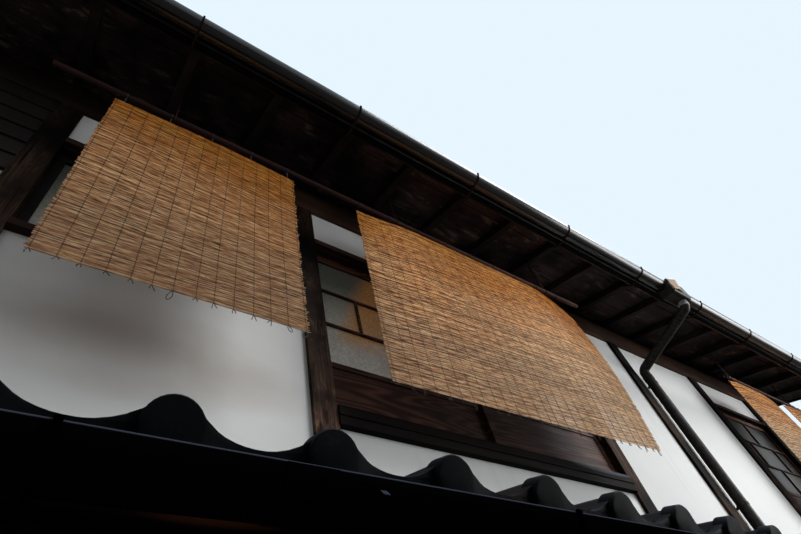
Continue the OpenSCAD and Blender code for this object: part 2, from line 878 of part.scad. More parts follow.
// Half hoop under a gutter, with a bar that runs back below the fascia to a rafter's side
hoop_gap = 0.3;
hook_r = 5;
module hoop_outline(out, z, back) {
  r = gutter_d / 2 + hoop_gap;
  translate([out - gutter_d / 2, z]) {
    difference() {
      circle(r + hoop_t);
      circle(r);
      translate([-r - hoop_t - over, 0]) square([2 * (r + hoop_t + over), r + hoop_t + over]);
    }
    translate([r + hoop_t / 2, 0]) circle(hook_r);
  }
  polygon(back);
}

bar_back = 130;
bar_h = 12;

// Outline of the bar: under the gutter at out and z, under the fascia at edge and edge_z,
// then up beside the rafter to far_z
function hoop_bar(out, z, edge, edge_z, far_z) =
  let (mid = out - gutter_d / 2, low = z - gutter_d / 2 - hoop_gap - hoop_t,
    under = edge_z - hoop_gap, far = edge - bar_back)
  [[mid, low], [mid, low + hoop_t], [edge, under], [edge - fascia_t, under], [far, far_z],
    [far, far_z - bar_h], [edge - fascia_t, under - bar_h]];

module gutter_hangers() {
  far_z = roof_low(fascia_out - bar_back) + rafter_h / 2;
  pent_far_z = pent_low(pent_fascia_out - bar_back) + pent_rafter_h / 2;
  color("black") front_and_back() for (i = [1:2:rafter_n - 1]) {
    x = rafter_x(i) - rafter_w / 2 - hoop_w;
    run_of(x, x + hoop_w - hoop_gap) hoop_outline(gutter_out, gutter_z,
      hoop_bar(gutter_out, gutter_z, fascia_out, fascia_z, far_z));
    px = rafter_x(i) - pent_rafter_w / 2 - hoop_w;
    run_of(px, px + hoop_w - hoop_gap) hoop_outline(pent_gutter_out, pent_gutter_z,
      hoop_bar(pent_gutter_out, pent_gutter_z, pent_fascia_out, pent_fascia_z, pent_far_z));
  }
}

// Downpipes

pipe_r = pipe_d / 2;
elbow_r = 45;
leader_angle = 74;
neck_h = 20;
hopper_left = 190;
hopper_right = 46;
hopper_h = 130;
hopper_side_h = 116;
hopper_taper = 14;
hopper_proud = 22;
hopper_lip = 12;
clamp_t = 3;
clamp_h = 18;
pipe_joint = 0.3;
socket_down = 30;
socket_h = 45;

module ring(r, t) {
  difference() {
    circle(r);
    circle(r - t);
  }
}

// Outline of the box under the gutter, about the gutter's centre, with its street side to the
// left; rise is how far its inside is drawn above the lip
module hopper_outline(inset, rise) {
  front = gutter_d / 2 + hopper_proud - inset;
  back = gutter_d / 2 + bead_r - inset;
  low = inset - hopper_h;
  polygon([[-front + hopper_taper, low], [back - hopper_taper, low], [back, -hopper_side_h],
    [back, rise], [-gutter_d / 2 - hoop_gap, rise], [-gutter_d / 2 - hoop_gap, hopper_lip + rise],
    [-front, hopper_lip + rise], [-front, -hopper_side_h]]);
}

// Sheet metal box, open above, whose ends hug the gutter
module hopper() {
  difference() {
    rotate([90, 0, 90]) translate([0, 0, -hopper_left]) linear_extrude(hopper_left + hopper_right)
      difference() {
        hopper_outline(0, 0);
        circle(gutter_d / 2 + hoop_gap);
      }
    rotate([90, 0, 90]) translate([0, 0, pipe_t - hopper_left])
      linear_extrude(hopper_left + hopper_right - 2 * pipe_t) hopper_outline(pipe_t, over);
    translate([0, 0, -hopper_h - over]) cylinder(r = pipe_r - pipe_t, h = 2 * pipe_t + over);
  }
}

// Bends of the leader, each starting at the origin: from straight down towards the wall,
// and from the leader's slant back to straight down
module bend_in() {
  translate([0, elbow_r, 0]) rotate([90, 0, 90]) rotate([0, 0, 180])
    rotate_extrude(angle = leader_angle) translate([elbow_r, 0]) ring(pipe_r, pipe_t);
}

module bend_down() {
  translate([0, -elbow_r * cos(leader_angle), -elbow_r * sin(leader_angle)]) rotate([90, 0, 90])
    rotate_extrude(angle = leader_angle) translate([elbow_r, 0]) ring(pipe_r, pipe_t);
}

// Hopper with its neck and bend, leader back to the wall, bend, and pipe down to foot_z:
// four lengths, each butted to the next. The gutter's rim is at rim_z and its outer edge at
// rim_out; the pipe runs pipe_out from the posts' faces
module downpipe(x, rim_out, rim_z, pipe_out, wall_out, foot_z, clamps) {
  mid_out = rim_out - gutter_d / 2;
  bend_y = elbow_r * (1 - cos(leader_angle));
  bend_z = elbow_r * sin(leader_angle);
  leader_l = (mid_out - pipe_out - 2 * bend_y) / sin(leader_angle);
  neck_z = rim_z - hopper_h - neck_h;
  pipe_top = neck_z - 2 * bend_z - leader_l * cos(leader_angle) - pipe_joint;
  translate([x, face_y - mid_out, rim_z]) hopper();
  translate([x, face_y - mid_out, neck_z]) {
    linear_extrude(neck_h) ring(pipe_r, pipe_t);
    bend_in();
    translate([0, bend_y, -bend_z]) {
      rotate([180 + leader_angle, 0, 0]) translate([0, 0, pipe_joint])
        linear_extrude(leader_l - 2 * pipe_joint) ring(pipe_r, pipe_t);
      translate([0, leader_l * sin(leader_angle), -leader_l * cos(leader_angle)]) bend_down();
    }
  }
  translate([x, face_y - pipe_out, foot_z]) linear_extrude(pipe_top - foot_z) ring(pipe_r, pipe_t);
  translate([x, face_y - pipe_out, pipe_top - socket_down - socket_h])
    linear_extrude(socket_h) ring(pipe_r + clamp_t, clamp_t + pipe_t / 2);
  for (z = clamps) translate([x, face_y - pipe_out, z]) {
    linear_extrude(clamp_h) ring(pipe_r + clamp_t, clamp_t + pipe_t / 2);
    translate([-clamp_t, pipe_r, 0]) cube([2 * clamp_t, pipe_out - wall_out - pipe_r, clamp_h]);
  }
}

upper_pipe_x = post_x(pipe_post) + pipe_from_post;
upper_clamps = [3000, 4030];
lower_clamps = [400, 1500];
upper_foot_gap = 60;
lower_foot_z = 160;
module downpipes() {
  downpipe(upper_pipe_x, gutter_out, gutter_z, pipe_gap + pipe_r - plaster_set, -plaster_set,
    flash_z + flash_h + upper_foot_gap, upper_clamps);
  downpipe(post_x(last_post), pent_gutter_out, pent_gutter_z, pipe_gap + pipe_r, 0,
    lower_foot_z, lower_clamps);
}

module front_downpipes() {
  color("dimgray") downpipes();
}

module back_downpipes() {
  color("dimgray") mirror([0, 1, 0]) downpipes();
}

// Shades

hanger_w = 16;
hanger_t = 4;
pole_seat = 0.3;
hanger_step = 3;

// Each pole's left end and length
poles = [[long_pole_x, long_pole_l], [short_pole_x, short_pole_l]];

// Every third rafter carries a hanger, where a pole runs past it
function by_pole(x) = len([for (p = poles) if (x > p[0] && x + hanger_t < p[0] + p[1]) p]) > 0;
hanger_rafters = [for (i = [0:hanger_step:rafter_n - 1]) if (by_pole(hanger_x(i))) i];
function hanger_x(i) = rafter_x(i) + rafter_w / 2 + pole_seat;

module shade_poles() {
  color("sienna") for (p = poles) translate([p[0], face_y - pole_out, pole_z])
    rotate([0, 90, 0]) cylinder(d = pole_d, h = p[1]);
}

// A strip nailed to a rafter's side, with an eye that the pole lies in
eye_t = 4;
strip_up = 35;
module pole_hangers() {
  eye_r = pole_d / 2 + pole_seat;
  color("saddlebrown") for (i = hanger_rafters)
    run_of(hanger_x(i), hanger_x(i) + hanger_t) translate([pole_out, pole_z]) {
      ring(eye_r + eye_t, eye_t);
      translate([-hanger_w / 2, eye_r + eye_t / 2])
        square([hanger_w, roof_low(pole_out) + strip_up - pole_z - eye_r - eye_t / 2]);
    }
}

// Centre, width, drop and length of each shade, left to right
shades = [[left_shade_x, shade_w, left_shade_drop, left_shade_l],
  [middle_shade_x, 2 * shade_w, shade_drop, shade_l], [right_shade_x, shade_w, shade_drop, shade_l],
  [short_pole_x + short_pole_l - end_shade_in, shade_w, shade_drop, shade_l]];

module shade(s) {
  color("goldenrod") translate([s[0] - s[1] / 2, face_y - pole_out - shade_t / 2,
    pole_z - pole_d / 2 - s[2] - s[3]]) cube([s[1], shade_t, s[3]]);
}

module left_shade() {
  shade(shades[0]);
}

module middle_shade() {
  shade(shades[1]);
}

module right_shade() {
  shade(shades[2]);
}

module end_shade() {
  shade(shades[3]);
}

// Cord loops round the pole that each shade hangs by
tie_w = 6;
tie_t = 3;
tie_pitch = 200;
tie_edge = 35;
tie_seat = 0.3;
module shade_ties() {
  loop_r = pole_d / 2 + tie_seat + tie_t;
  color("tan") for (s = shades) {
    n = floor((s[1] - 2 * tie_edge) / tie_pitch);
    for (k = [0:n]) {
      x = s[0] - s[1] / 2 + tie_edge + k * (s[1] - 2 * tie_edge) / n - tie_w / 2;
      run_of(x, x + tie_w) translate([pole_out, pole_z]) {
        ring(loop_r, tie_t);
        translate([-tie_t / 2, tie_seat - pole_d / 2 - s[2]])
          square([tie_t, s[2] - 2 * tie_seat - tie_t / 2]);
      }
    }
  }
}

base_stones();
ground_floor();
ground_sills();
front_posts();
back_posts();
left_party_wall();
right_party_wall();
middle_beams();
wall_beams();
ridge_beam();
upper_floor();
floor_joists();
front_plaster();
back_plaster();
board_panel();
front_window_frames();
back_window_frames();
left_window_sashes();
middle_window_sashes();
right_window_sashes();
back_window_sashes();
lower_window_sashes();
entrance_doors();
window_glass();
roof_rafters();
eave_blocking();
roof_boards();
eave_fascias();
front_roof_tiles();
back_roof_tiles();
ridge_tiles();
ridge_end_tiles();
verge_tiles();
eave_tile_ends();
roof_gutters();
pent_gutters();
gutter_hangers();
front_downpipes();
back_downpipes();
pent_roof_arms();
pent_roof_purlins();
pent_roof_rafters();
pent_roof_boards();
pent_roof_tiles();
shade_poles();
pole_hangers();
shade_ties();
left_shade();
middle_shade();
right_shade();
end_shade();
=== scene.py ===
"""Looks of the machiya townhouse: reed shades, tiles, boards, finishes, light and camera."""
import math
import random

import bpy
from mathutils import Matrix, Vector


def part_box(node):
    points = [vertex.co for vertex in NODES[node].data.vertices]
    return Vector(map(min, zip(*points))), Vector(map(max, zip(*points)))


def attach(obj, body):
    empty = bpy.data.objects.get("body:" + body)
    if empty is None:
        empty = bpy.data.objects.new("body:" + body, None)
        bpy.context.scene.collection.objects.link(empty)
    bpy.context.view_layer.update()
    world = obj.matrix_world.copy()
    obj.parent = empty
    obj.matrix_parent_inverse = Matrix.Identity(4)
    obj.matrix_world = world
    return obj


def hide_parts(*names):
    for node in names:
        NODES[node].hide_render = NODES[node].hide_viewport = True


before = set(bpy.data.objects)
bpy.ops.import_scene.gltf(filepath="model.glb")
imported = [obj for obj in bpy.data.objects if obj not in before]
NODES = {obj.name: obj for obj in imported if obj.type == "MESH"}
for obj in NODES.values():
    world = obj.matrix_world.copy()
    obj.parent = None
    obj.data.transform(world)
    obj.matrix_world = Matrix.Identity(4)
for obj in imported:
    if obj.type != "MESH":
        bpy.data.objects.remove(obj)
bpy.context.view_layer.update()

MM = 0.001

# Places worked out from the frame
FACE_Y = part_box("front_posts")[0].y
ROOF_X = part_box("roof_boards")[1].x
POLE_LOW, POLE_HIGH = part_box("shade_poles")
POLE_OUT = FACE_Y - (POLE_LOW.y + POLE_HIGH.y) / 2


def at(x, out, z):
    """A point at a distance out from the faces of the front posts."""
    return Vector((x, FACE_Y - out, z))


def srgb(code):
    """The linear colour of a hexadecimal sRGB colour."""
    parts = [int(code[i : i + 2], 16) / 255 for i in (1, 3, 5)]
    return tuple(c / 12.92 if c <= 0.04045 else ((c + 0.055) / 1.055) ** 2.4 for c in parts)


def placed(name, data):
    """A new object in the scene."""
    made = bpy.data.objects.new(name, data)
    bpy.context.scene.collection.objects.link(made)
    return made


# Materials


class Graph:
    """The nodes of a material or the world, with a short call for each kind of node used here."""

    def __init__(self, name, owner=None):
        self.material = owner or bpy.data.materials.new(name)
        self.material.use_nodes = True
        self.tree = self.material.node_tree
        self.shader = self.tree.nodes.get("Principled BSDF")
        self.place = self.node("ShaderNodeTexCoord").outputs["Object"]

    def node(self, kind, **settings):
        made = self.tree.nodes.new(kind)
        for key, value in settings.items():
            setattr(made, key, value)
        return made

    def feed(self, socket, value):
        """Links a socket to another, or sets it to a number, a colour or a colour's code."""
        if isinstance(value, str):
            value = srgb(value)
        if isinstance(value, bpy.types.NodeSocket):
            self.tree.links.new(value, socket)
        elif isinstance(value, tuple) and len(value) == 3 and socket.type == "RGBA":
            socket.default_value = (*value, 1)
        else:
            socket.default_value = value

    def fill(self, made, **sockets):
        """Feeds a node's named sockets, those that get a value."""
        for name, value in sockets.items():
            if value is not None:
                self.feed(made.inputs[name], value)
        return made

    def noise(self, scale, detail=3.0, rough=0.55, warp=0.0, shift=0.0):
        """Noise of about scale lumps a metre, one number or one for each of X, Y and Z."""
        if isinstance(scale, float):
            scale = (scale, scale, scale)
        place = self.fill(self.node("ShaderNodeMapping"), Scale=scale, Vector=self.place)
        made = self.node("ShaderNodeTexNoise", noise_dimensions="4D")
        self.fill(made, Vector=place.outputs["Vector"], W=shift, Scale=1.0)
        self.fill(made, Detail=detail, Roughness=rough, Distortion=warp)
        return made.outputs["Fac"]

    def axis(self, name, of=None):
        """One object coordinate, in metres, or one part of another vector."""
        made = self.node("ShaderNodeSeparateXYZ")
        self.feed(made.inputs[0], of or self.place)
        return made.outputs[name]

    def attribute(self, name):
        return self.node("ShaderNodeAttribute", attribute_name=name).outputs["Fac"]

    def math(self, operation, a, b=0.0):
        made = self.node("ShaderNodeMath", operation=operation)
        self.feed(made.inputs[0], a)
        self.feed(made.inputs[1], b)
        return made.outputs[0]

    def plus(self, total, *more):
        """The sum of two or more values."""
        for value in more:
            total = self.math("ADD", total, value)
        return total

    def times(self, product, *more):
        """The product of two or more values."""
        for value in more:
            product = self.math("MULTIPLY", product, value)
        return product

    def remap(self, value, low, high, to_low=0.0, to_high=1.0):
        """Value from low to high, smoothly turned into to_low to to_high."""
        made = self.node("ShaderNodeMapRange", interpolation_type="SMOOTHSTEP")
        for socket, number in zip(made.inputs[:5], (value, low, high, to_low, to_high)):
            self.feed(socket, number)
        return made.outputs["Result"]

    def ramp(self, value, *stops):
        """A value turned into a colour: places from 0 to 1 with the colour or code at each."""
        made = self.node("ShaderNodeValToRGB")
        points = made.color_ramp.elements
        while len(points) < len(stops):
            points.new(1.0)
        for point, (place, colour) in zip(points, stops):
            point.position = place
            point.color = (*(srgb(colour) if isinstance(colour, str) else colour), 1)
        self.feed(made.inputs["Fac"], value)
        return made.outputs["Color"]

    def mix(self, amount, a, b):
        made = self.node("ShaderNodeMix", data_type="RGBA")
        self.feed(made.inputs[0], amount)
        self.feed(made.inputs[6], a)
        self.feed(made.inputs[7], b)
        return made.outputs[2]

    def scale(self, colour, amount):
        made = self.node("ShaderNodeVectorMath", operation="SCALE")
        self.feed(made.inputs[0], colour)
        self.feed(made.inputs["Scale"], amount)
        return made.outputs["Vector"]

    def blot(self, colour, tint, x, z, wide, tall, strength, ragged=0.0):
        """A soft blot of a tint round a place on the street side."""
        across = self.math("DIVIDE", self.math("SUBTRACT", self.axis("X"), x), wide)
        upward = self.math("DIVIDE", self.math("SUBTRACT", self.axis("Z"), z), tall)
        far = self.plus(self.times(across, across), self.times(upward, upward), ragged)
        amount = self.times(self.remap(far, 1.0, 0.0, 0.0, strength), self.street())
        return self.mix(amount, colour, tint)

    def street(self):
        """One on the street side of the house and nought on its back."""
        return self.remap(self.axis("Y"), 0.1, -0.1)

    def bump(self, height, distance, strength, normal=None):
        made = self.node("ShaderNodeBump")
        self.fill(made, Height=height, Distance=distance, Strength=strength, Normal=normal)
        return made.outputs["Normal"]

    def edges(self, radius):
        """How near a surface is to a sharp edge, from 0 to 1, and its rounded normal."""
        bevel = self.fill(self.node("ShaderNodeBevel", samples=4), Radius=radius)
        rounded = bevel.outputs["Normal"]
        flat = self.node("ShaderNodeNewGeometry").outputs["Normal"]
        dot = self.node("ShaderNodeVectorMath", operation="DOT_PRODUCT")
        self.feed(dot.inputs[0], rounded)
        self.feed(dot.inputs[1], flat)
        return self.remap(dot.outputs["Value"], 0.995, 0.85), rounded

    def set(self, colour, roughness, normal=None, specular=None):
        """The finish of the material, which it gives back."""
        self.fill(self.shader, Roughness=roughness, Normal=normal)
        self.fill(self.shader, **{"Base Color": colour, "Specular IOR Level": specular})
        return self.material

    def surface(self, amount, first, second, output="Material Output"):
        """One shader where the amount is nought and another where it is one."""
        chosen = self.node("ShaderNodeMixShader")
        for socket, value in zip(chosen.inputs, (amount, first, second)):
            self.feed(socket, value)
        self.feed(self.tree.nodes[output].inputs["Surface"], chosen.outputs[0])


ALONG = {"X": (0, 1, 1), "Y": (1, 0, 1), "Z": (1, 1, 0)}


def along(axis, length, across):
    """Scale of a pattern drawn out along an axis: lumps a metre along it and across it."""
    return tuple(across if flag else length for flag in ALONG[axis])


def weathered_wood(
    name, axis, dark, mid, light, stain=0.5, rings=0.0, edge=0.5, rough=0.75, crack=0.6,
    patch=None, lift=None, fade=None, blot=None, gloss=0.14, tone=False,
):
    """Old timber with its grain along an axis: fibres, broad bands, dark stains, cracks and pale
    worn arrises. patch is a colour that shows in scattered patches where the stain has gone. lift
    holds two heights with the brightness at each, and fade the same for two places along X: both
    are painted light and shade. blot is a tint with the place, size and strength of a soft patch of
    it. All colours are codes."""
    g = Graph(name)
    dark, mid, light = srgb(dark), srgb(mid), srgb(light)
    bands = g.noise(along(axis, 0.7, 9.0), detail=4.0, warp=0.6)
    fibres = g.noise(along(axis, 3.0, 160.0), detail=3.0, rough=0.7)
    cloudy = g.noise(2.3, detail=4.0, shift=4.0)
    grain = g.plus(g.times(bands, 0.55), g.times(fibres, 0.45))
    if rings:
        wavy = g.noise(along(axis, 0.5, 5.5), detail=2.0, warp=0.35, shift=9.0)
        lines = g.math("MULTIPLY_ADD", g.math("SINE", g.times(wavy, 170.0)), 0.5)
        lines.node.inputs[2].default_value = 0.5
        grain = g.plus(g.times(grain, 1 - rings), g.times(lines, rings))
    colour = g.ramp(grain, (0.28, dark), (0.50, mid), (0.74, light))
    if tone:
        colour = g.scale(colour, g.remap(g.attribute("tone"), 0.0, 1.0, 0.55, 1.35))
    if patch:
        bare = g.noise(along(axis, 4.5, 13.0), detail=6.0, rough=0.68, warp=0.4, shift=15.0)
        colour = g.mix(g.remap(bare, 0.53, 0.66, 0.0, 0.75), colour, patch)
        rot = g.noise(along(axis, 6.0, 24.0), detail=5.0, rough=0.7, shift=21.0)
        colour = g.mix(g.remap(rot, 0.54, 0.63, 0.0, 0.8), colour, tuple(c * 0.5 for c in dark))
    spots = g.remap(cloudy, 0.62, 0.38, 0.0, stain)
    colour = g.mix(spots, colour, tuple(c * 0.35 for c in dark))
    split = g.noise(along(axis, 1.3, 55.0), detail=2.0, warp=0.3, shift=12.0)
    cracks = g.remap(split, 0.64, 0.69, 0.0, crack)
    colour = g.mix(cracks, colour, tuple(c * 0.2 for c in dark))
    worn, rounded = g.edges(0.005)
    rub = g.times(worn, g.remap(g.noise(along(axis, 2.5, 14.0), shift=2.0), 0.46, 0.64, 0.0, edge))
    colour = g.mix(rub, colour, light)
    # Painted light and shade: brighter or darker by height and along X
    if lift:
        colour = g.scale(colour, g.remap(g.axis("Z"), *lift))
    if fade:
        colour = g.scale(colour, g.remap(g.axis("X"), *fade))
    if blot:
        colour = g.blot(colour, *blot)
    height = g.math("SUBTRACT", grain, g.times(cracks, 0.8))
    normal = g.bump(height, 0.0014, 0.8, rounded)
    return g.set(colour, g.remap(fibres, 0.3, 0.7, rough - 0.12, rough + 0.1), normal, specular=gloss)


GRIME_AND_SHADE = "#74532f"
# The height from which the plaster is painted up to 1.3 times lighter: painted light under the eave
PAINTED_EAVE_LIGHT_Z = 3.95


def plaster(name, body, smudge, stains=()):
    """Trowelled white plaster: faint clouds and hairline trowel bumps; soft brownish blots, partly
    grime and partly painted shade, given by their middle, half width, half height and strength;
    and painted light, which makes it lighter near the eave."""
    g = Graph(name)
    clouds = g.noise((0.9, 0.9, 1.4), detail=5.0)
    trowel = g.noise((5.0, 5.0, 11.0), detail=6.0, rough=0.6, shift=3.0)
    colour = g.ramp(clouds, (0.30, tuple(c * 0.90 for c in body)), (0.65, body))
    drips = g.noise((16.0, 16.0, 0.9), detail=4.0, shift=7.0)
    soft = g.times(g.remap(drips, 0.50, 0.75), g.remap(clouds, 0.40, 0.70, 0.0, 0.25))
    colour = g.mix(soft, colour, smudge)
    ragged = g.times(g.math("SUBTRACT", clouds, 0.5), 2.4)
    # Brownish blots: partly grime and partly painted shade
    for stain in stains:
        colour = g.blot(colour, GRIME_AND_SHADE, *stain, ragged)
    # Painted light: the plaster lighter near the eave
    colour = g.scale(colour, g.remap(g.axis("Z"), PAINTED_EAVE_LIGHT_Z, PAINTED_EAVE_LIGHT_Z + 0.25, 1.0, 1.3))
    height = g.plus(trowel, g.times(g.noise(90.0, detail=2.0), 0.12))
    return g.set(colour, 0.86, g.bump(height, 0.0025, 0.55), specular=0.25)


# The height from which tiles that face up are painted lighter still, and places along X between
# which the painted shade on tiles that face down deepens
TILE_LIGHT_Z = 4.7
TILE_SHADE_X = (-2.4, -1.9)


def fired_tile(name, body, bloom, tone=False):
    """Smoked clay, near black with bluish grey clouds, fine pits and dust in the hollows. Light and
    shade are painted in by facing: lighter where a face turns up, as lit from the sky, and much
    lighter on the upper roof; darker where it turns down, painted shade, darker still towards +X."""
    g = Graph(name)
    clouds = g.noise(7.0, detail=5.0)
    pits = g.noise(210.0, detail=2.0)
    amount = g.remap(clouds, 0.35, 0.70)
    if tone:
        amount = g.plus(g.times(amount, 0.45), g.times(g.attribute("tone"), 0.55))
    colour = g.mix(amount, body, bloom)
    # How far a face turns up: painted sky light where it does, painted shade where it does not
    facing = g.node("ShaderNodeNewGeometry").outputs["Normal"]
    rain = g.plus(g.axis("Z", facing), g.times(g.axis("X", facing), 0.3))
    sky_lit = g.remap(rain, -0.3, 0.4)
    upper_light = g.remap(g.axis("Z"), TILE_LIGHT_Z, TILE_LIGHT_Z + 0.4, 1.9, 6.5)
    below = g.remap(g.axis("X"), *TILE_SHADE_X, 0.42, 0.06)
    colour = g.mix(sky_lit, g.scale(colour, below), g.scale(colour, upper_light))
    dust = g.noise(26.0, detail=6.0, rough=0.7, shift=5.0)
    dusty = g.remap(dust, 0.56, 0.68, 0.0, 0.45)
    colour = g.mix(dusty, colour, "#1e1c14")
    moss = g.noise(60.0, detail=4.0, rough=0.65, shift=8.0)
    mossy = g.remap(moss, 0.62, 0.70, 0.0, 0.8)
    colour = g.mix(g.times(mossy, dusty), colour, "#4a4026")
    height = g.plus(g.times(pits, 0.3), clouds)
    gloss = g.remap(clouds, 0.3, 0.7, 0.36, 0.52)
    return g.set(colour, gloss, g.bump(height, 0.0012, 0.5), specular=0.015)


def painted_metal(name, body, worn, rough, specular, rust=0.5, rim=None):
    """Old painted rain goods: a soft gloss, faded streaks along the run and a little rust. rim is
    a height above which a paler bluish grey is painted along the bead, a painted highlight."""
    g = Graph(name)
    streaks = g.noise((0.8, 60.0, 60.0), detail=4.0)
    spots = g.remap(g.noise(9.0, detail=6.0, rough=0.7, shift=6.0), 0.62, 0.74, 0.0, rust)
    colour = g.mix(g.remap(streaks, 0.35, 0.70), body, worn)
    colour = g.mix(spots, colour, "#2a170f")
    if rim is not None:
        # A painted highlight: a paler bluish grey along the bead
        rim_highlight = g.remap(g.axis("Z"), rim, rim + 2 * MM, 0.0, 0.9)
        colour = g.mix(rim_highlight, colour, "#3c404c")
    rough_map = g.remap(streaks, 0.3, 0.7, rough - 0.08, rough + 0.12)
    bumps = g.bump(g.noise(40.0, detail=3.0), 0.0006, 0.4)
    return g.set(colour, rough_map, bumps, specular=specular)


# Heights and places along X between which a look of the panes comes or goes, most of them painted
# light, shade and reflection
GLASS_LOW, GLASS_HIGH = 3.20, 4.15
DARK_PANES = (0.5, 1.5)
GLOW_SIDE, GLOW_LEAN = (-3.41, -3.27), 0.4
GLOW_FOOT = (3.45, 3.6)
GLOW_END = (-0.9, -1.2)
SMEAR_TOP = (3.7, 3.5)
SMEAR_END = (0.3, 0.0)


def figured_glass(name):
    """Old obscured glass: a greenish grey pane with a fine hammered face, painted paler towards its
    foot and darker at its top and on the panes towards +X, painted light and shade, with a painted
    warm reflection of the middle shade's sunlit reeds beside it."""
    g = Graph(name)
    hammered = g.noise(120.0, detail=1.5)
    haze = g.noise((1.6, 1.6, 2.4), detail=3.0)
    level = g.plus(g.axis("Z"), g.times(g.math("SUBTRACT", haze, 0.5), 0.3))
    # Painted light and shade: the panes paler towards their foot and darker towards their top
    upward = g.remap(level, GLASS_LOW, GLASS_HIGH)
    pane = g.ramp(upward, (0.0, "#dcdcd4"), (0.5, "#b8b9ad"), (0.93, "#6a6f67"))
    # Painted shade on the panes towards +X
    pane = g.mix(g.remap(g.axis("X"), *DARK_PANES, 0.0, 0.97), pane, "#191b16")
    # A painted warm reflection of the middle shade's sunlit reeds
    beside = g.math("SUBTRACT", g.axis("X"), g.times(g.axis("Z"), GLOW_LEAN))
    reed_reflection = g.times(g.remap(beside, *GLOW_SIDE), g.remap(g.axis("Z"), *GLOW_FOOT))
    reed_reflection = g.times(reed_reflection, g.remap(g.axis("X"), *GLOW_END), g.street())
    speckle = g.remap(g.noise((45.0, 45.0, 70.0), detail=2.0, shift=3.0), 0.35, 0.65, 0.75, 1.0)
    pane = g.mix(g.times(reed_reflection, speckle), pane, "#e0a560")
    wiped = g.noise((5.0, 5.0, 16.0), detail=5.0, rough=0.65, warp=0.5, shift=5.0)
    smears = g.remap(wiped, 0.42, 0.66, 0.0, 0.55)
    smears = g.times(smears, g.remap(g.axis("Z"), *SMEAR_TOP), g.remap(g.axis("X"), *SMEAR_END))
    pane = g.mix(smears, pane, "#eef0ea")
    sparkle = g.noise(125.0, detail=1.0, shift=6.0)
    pane = g.scale(pane, g.remap(sparkle, 0.3, 0.7, 0.82, 1.15))
    gloss = g.remap(haze, 0.3, 0.7, 0.3, 0.42)
    return g.set(pane, gloss, g.bump(hammered, 0.0011, 0.7), specular=0.2)


REED_STOPS = (0.14, 0.34, 0.56, 0.88)
GOLDEN_REEDS = ("#2c1407", "#784111", "#b66d20", "#f0b252")
BLEACHED_REEDS = ("#3c2619", "#885f42", "#c2976c", "#fbdfb6")
# Heights and places along X between which reeds turn from golden to pale (the golden top partly
# less bleached reeds, partly painted shade under the eave), paler in the middle (partly bare reeds,
# partly painted sheen), and greyer low down
GOLDEN_Z = (4.75, 3.75)
BARE_SHEEN_Z, BARE_SHEEN_X = (4.15, 3.6), (-1.8, -0.2)
GREY_Z = (3.75, 3.2)
# Painted light and shade on the reeds along X: two places, and the factor at each
REED_PAINTED_LIGHT = ((-2.25, -1.5, 1.0, 1.32), (-1.3, -0.3, 1.0, 1.18), (0.5, 1.8, 1.0, 0.66))


def reed(name):
    """Peeled reeds: straw to brown from reed to reed, with darker joints; golden and darker near the
    pole, partly painted shade there, paler and greyer lower down, and painted light and shade along X."""
    g = Graph(name)
    streak = g.noise((1.6, 30.0, 240.0), detail=3.0, rough=0.65)
    joints = g.remap(g.noise((26.0, 8.0, 420.0), detail=1.0, shift=3.0), 0.66, 0.74, 0.0, 0.55)
    glint = g.remap(g.noise((24.0, 20.0, 190.0), detail=2.0, rough=0.7, shift=8.0), 0.34, 0.66)
    grain = g.plus(g.times(streak, 0.2), g.times(glint, 0.24))
    amount = g.plus(g.times(g.attribute("tone"), 0.6), grain)
    golden, bleached = (
        g.ramp(amount, *zip(REED_STOPS, colours)) for colours in (GOLDEN_REEDS, BLEACHED_REEDS)
    )
    # The golden top: partly less bleached reeds, partly painted shade under the eave
    weather_and_shade = g.plus(g.axis("Z"), g.times(g.noise((1.5, 1.5, 3.0), detail=3.0), 0.8))
    colour = g.mix(g.remap(weather_and_shade, *GOLDEN_Z), golden, bleached)
    # Paler and greyer in the middle of the street side: partly bare reeds, partly painted sheen
    bare = g.times(g.remap(g.axis("X"), *BARE_SHEEN_X, 0.0, 0.32), g.remap(g.axis("Z"), *BARE_SHEEN_Z))
    colour = g.mix(bare, colour, "#b0a691")
    colour = g.mix(g.remap(g.axis("Z"), *GREY_Z, 0.0, 0.25), colour, "#8a786e")
    # Painted light and shade along X
    for stretch in REED_PAINTED_LIGHT:
        colour = g.scale(colour, g.remap(g.axis("X"), *stretch))
    colour = g.mix(joints, colour, "#40260f")
    return g.set(colour, 0.6, g.bump(streak, 0.0004, 0.6), specular=0.12)


def plain(name, colour, rough, lumps=40.0, spread=0.35, specular=0.5):
    """A finish with a little uneven tone and a fine bump, for small pieces."""
    g = Graph(name)
    colour = srgb(colour)
    clouds = g.noise(lumps, detail=4.0)
    low, high = (tuple(min(1, c * (1 + sign * spread)) for c in colour) for sign in (-1, 1))
    tint = g.ramp(clouds, (0.3, low), (0.7, high))
    return g.set(tint, rough, g.bump(clouds, 0.0005, 0.6), specular=specular)


# The height below which the hoops are near black: painted shade, as on the lower gutters
IRON_SHADE_Z = 3.0


def hoop_iron(name):
    """Rusty iron, near black low down: painted shade, as on the lower gutters."""
    g = Graph(name)
    clouds = g.noise(60.0, detail=4.0)
    rusty = g.ramp(clouds, (0.3, "#15110f"), (0.7, "#33261f"))
    colour = g.mix(g.remap(g.axis("Z"), IRON_SHADE_Z, IRON_SHADE_Z + 0.1), "#010101", rusty)
    return g.set(colour, 0.75, g.bump(clouds, 0.0005, 0.6), specular=0.0)


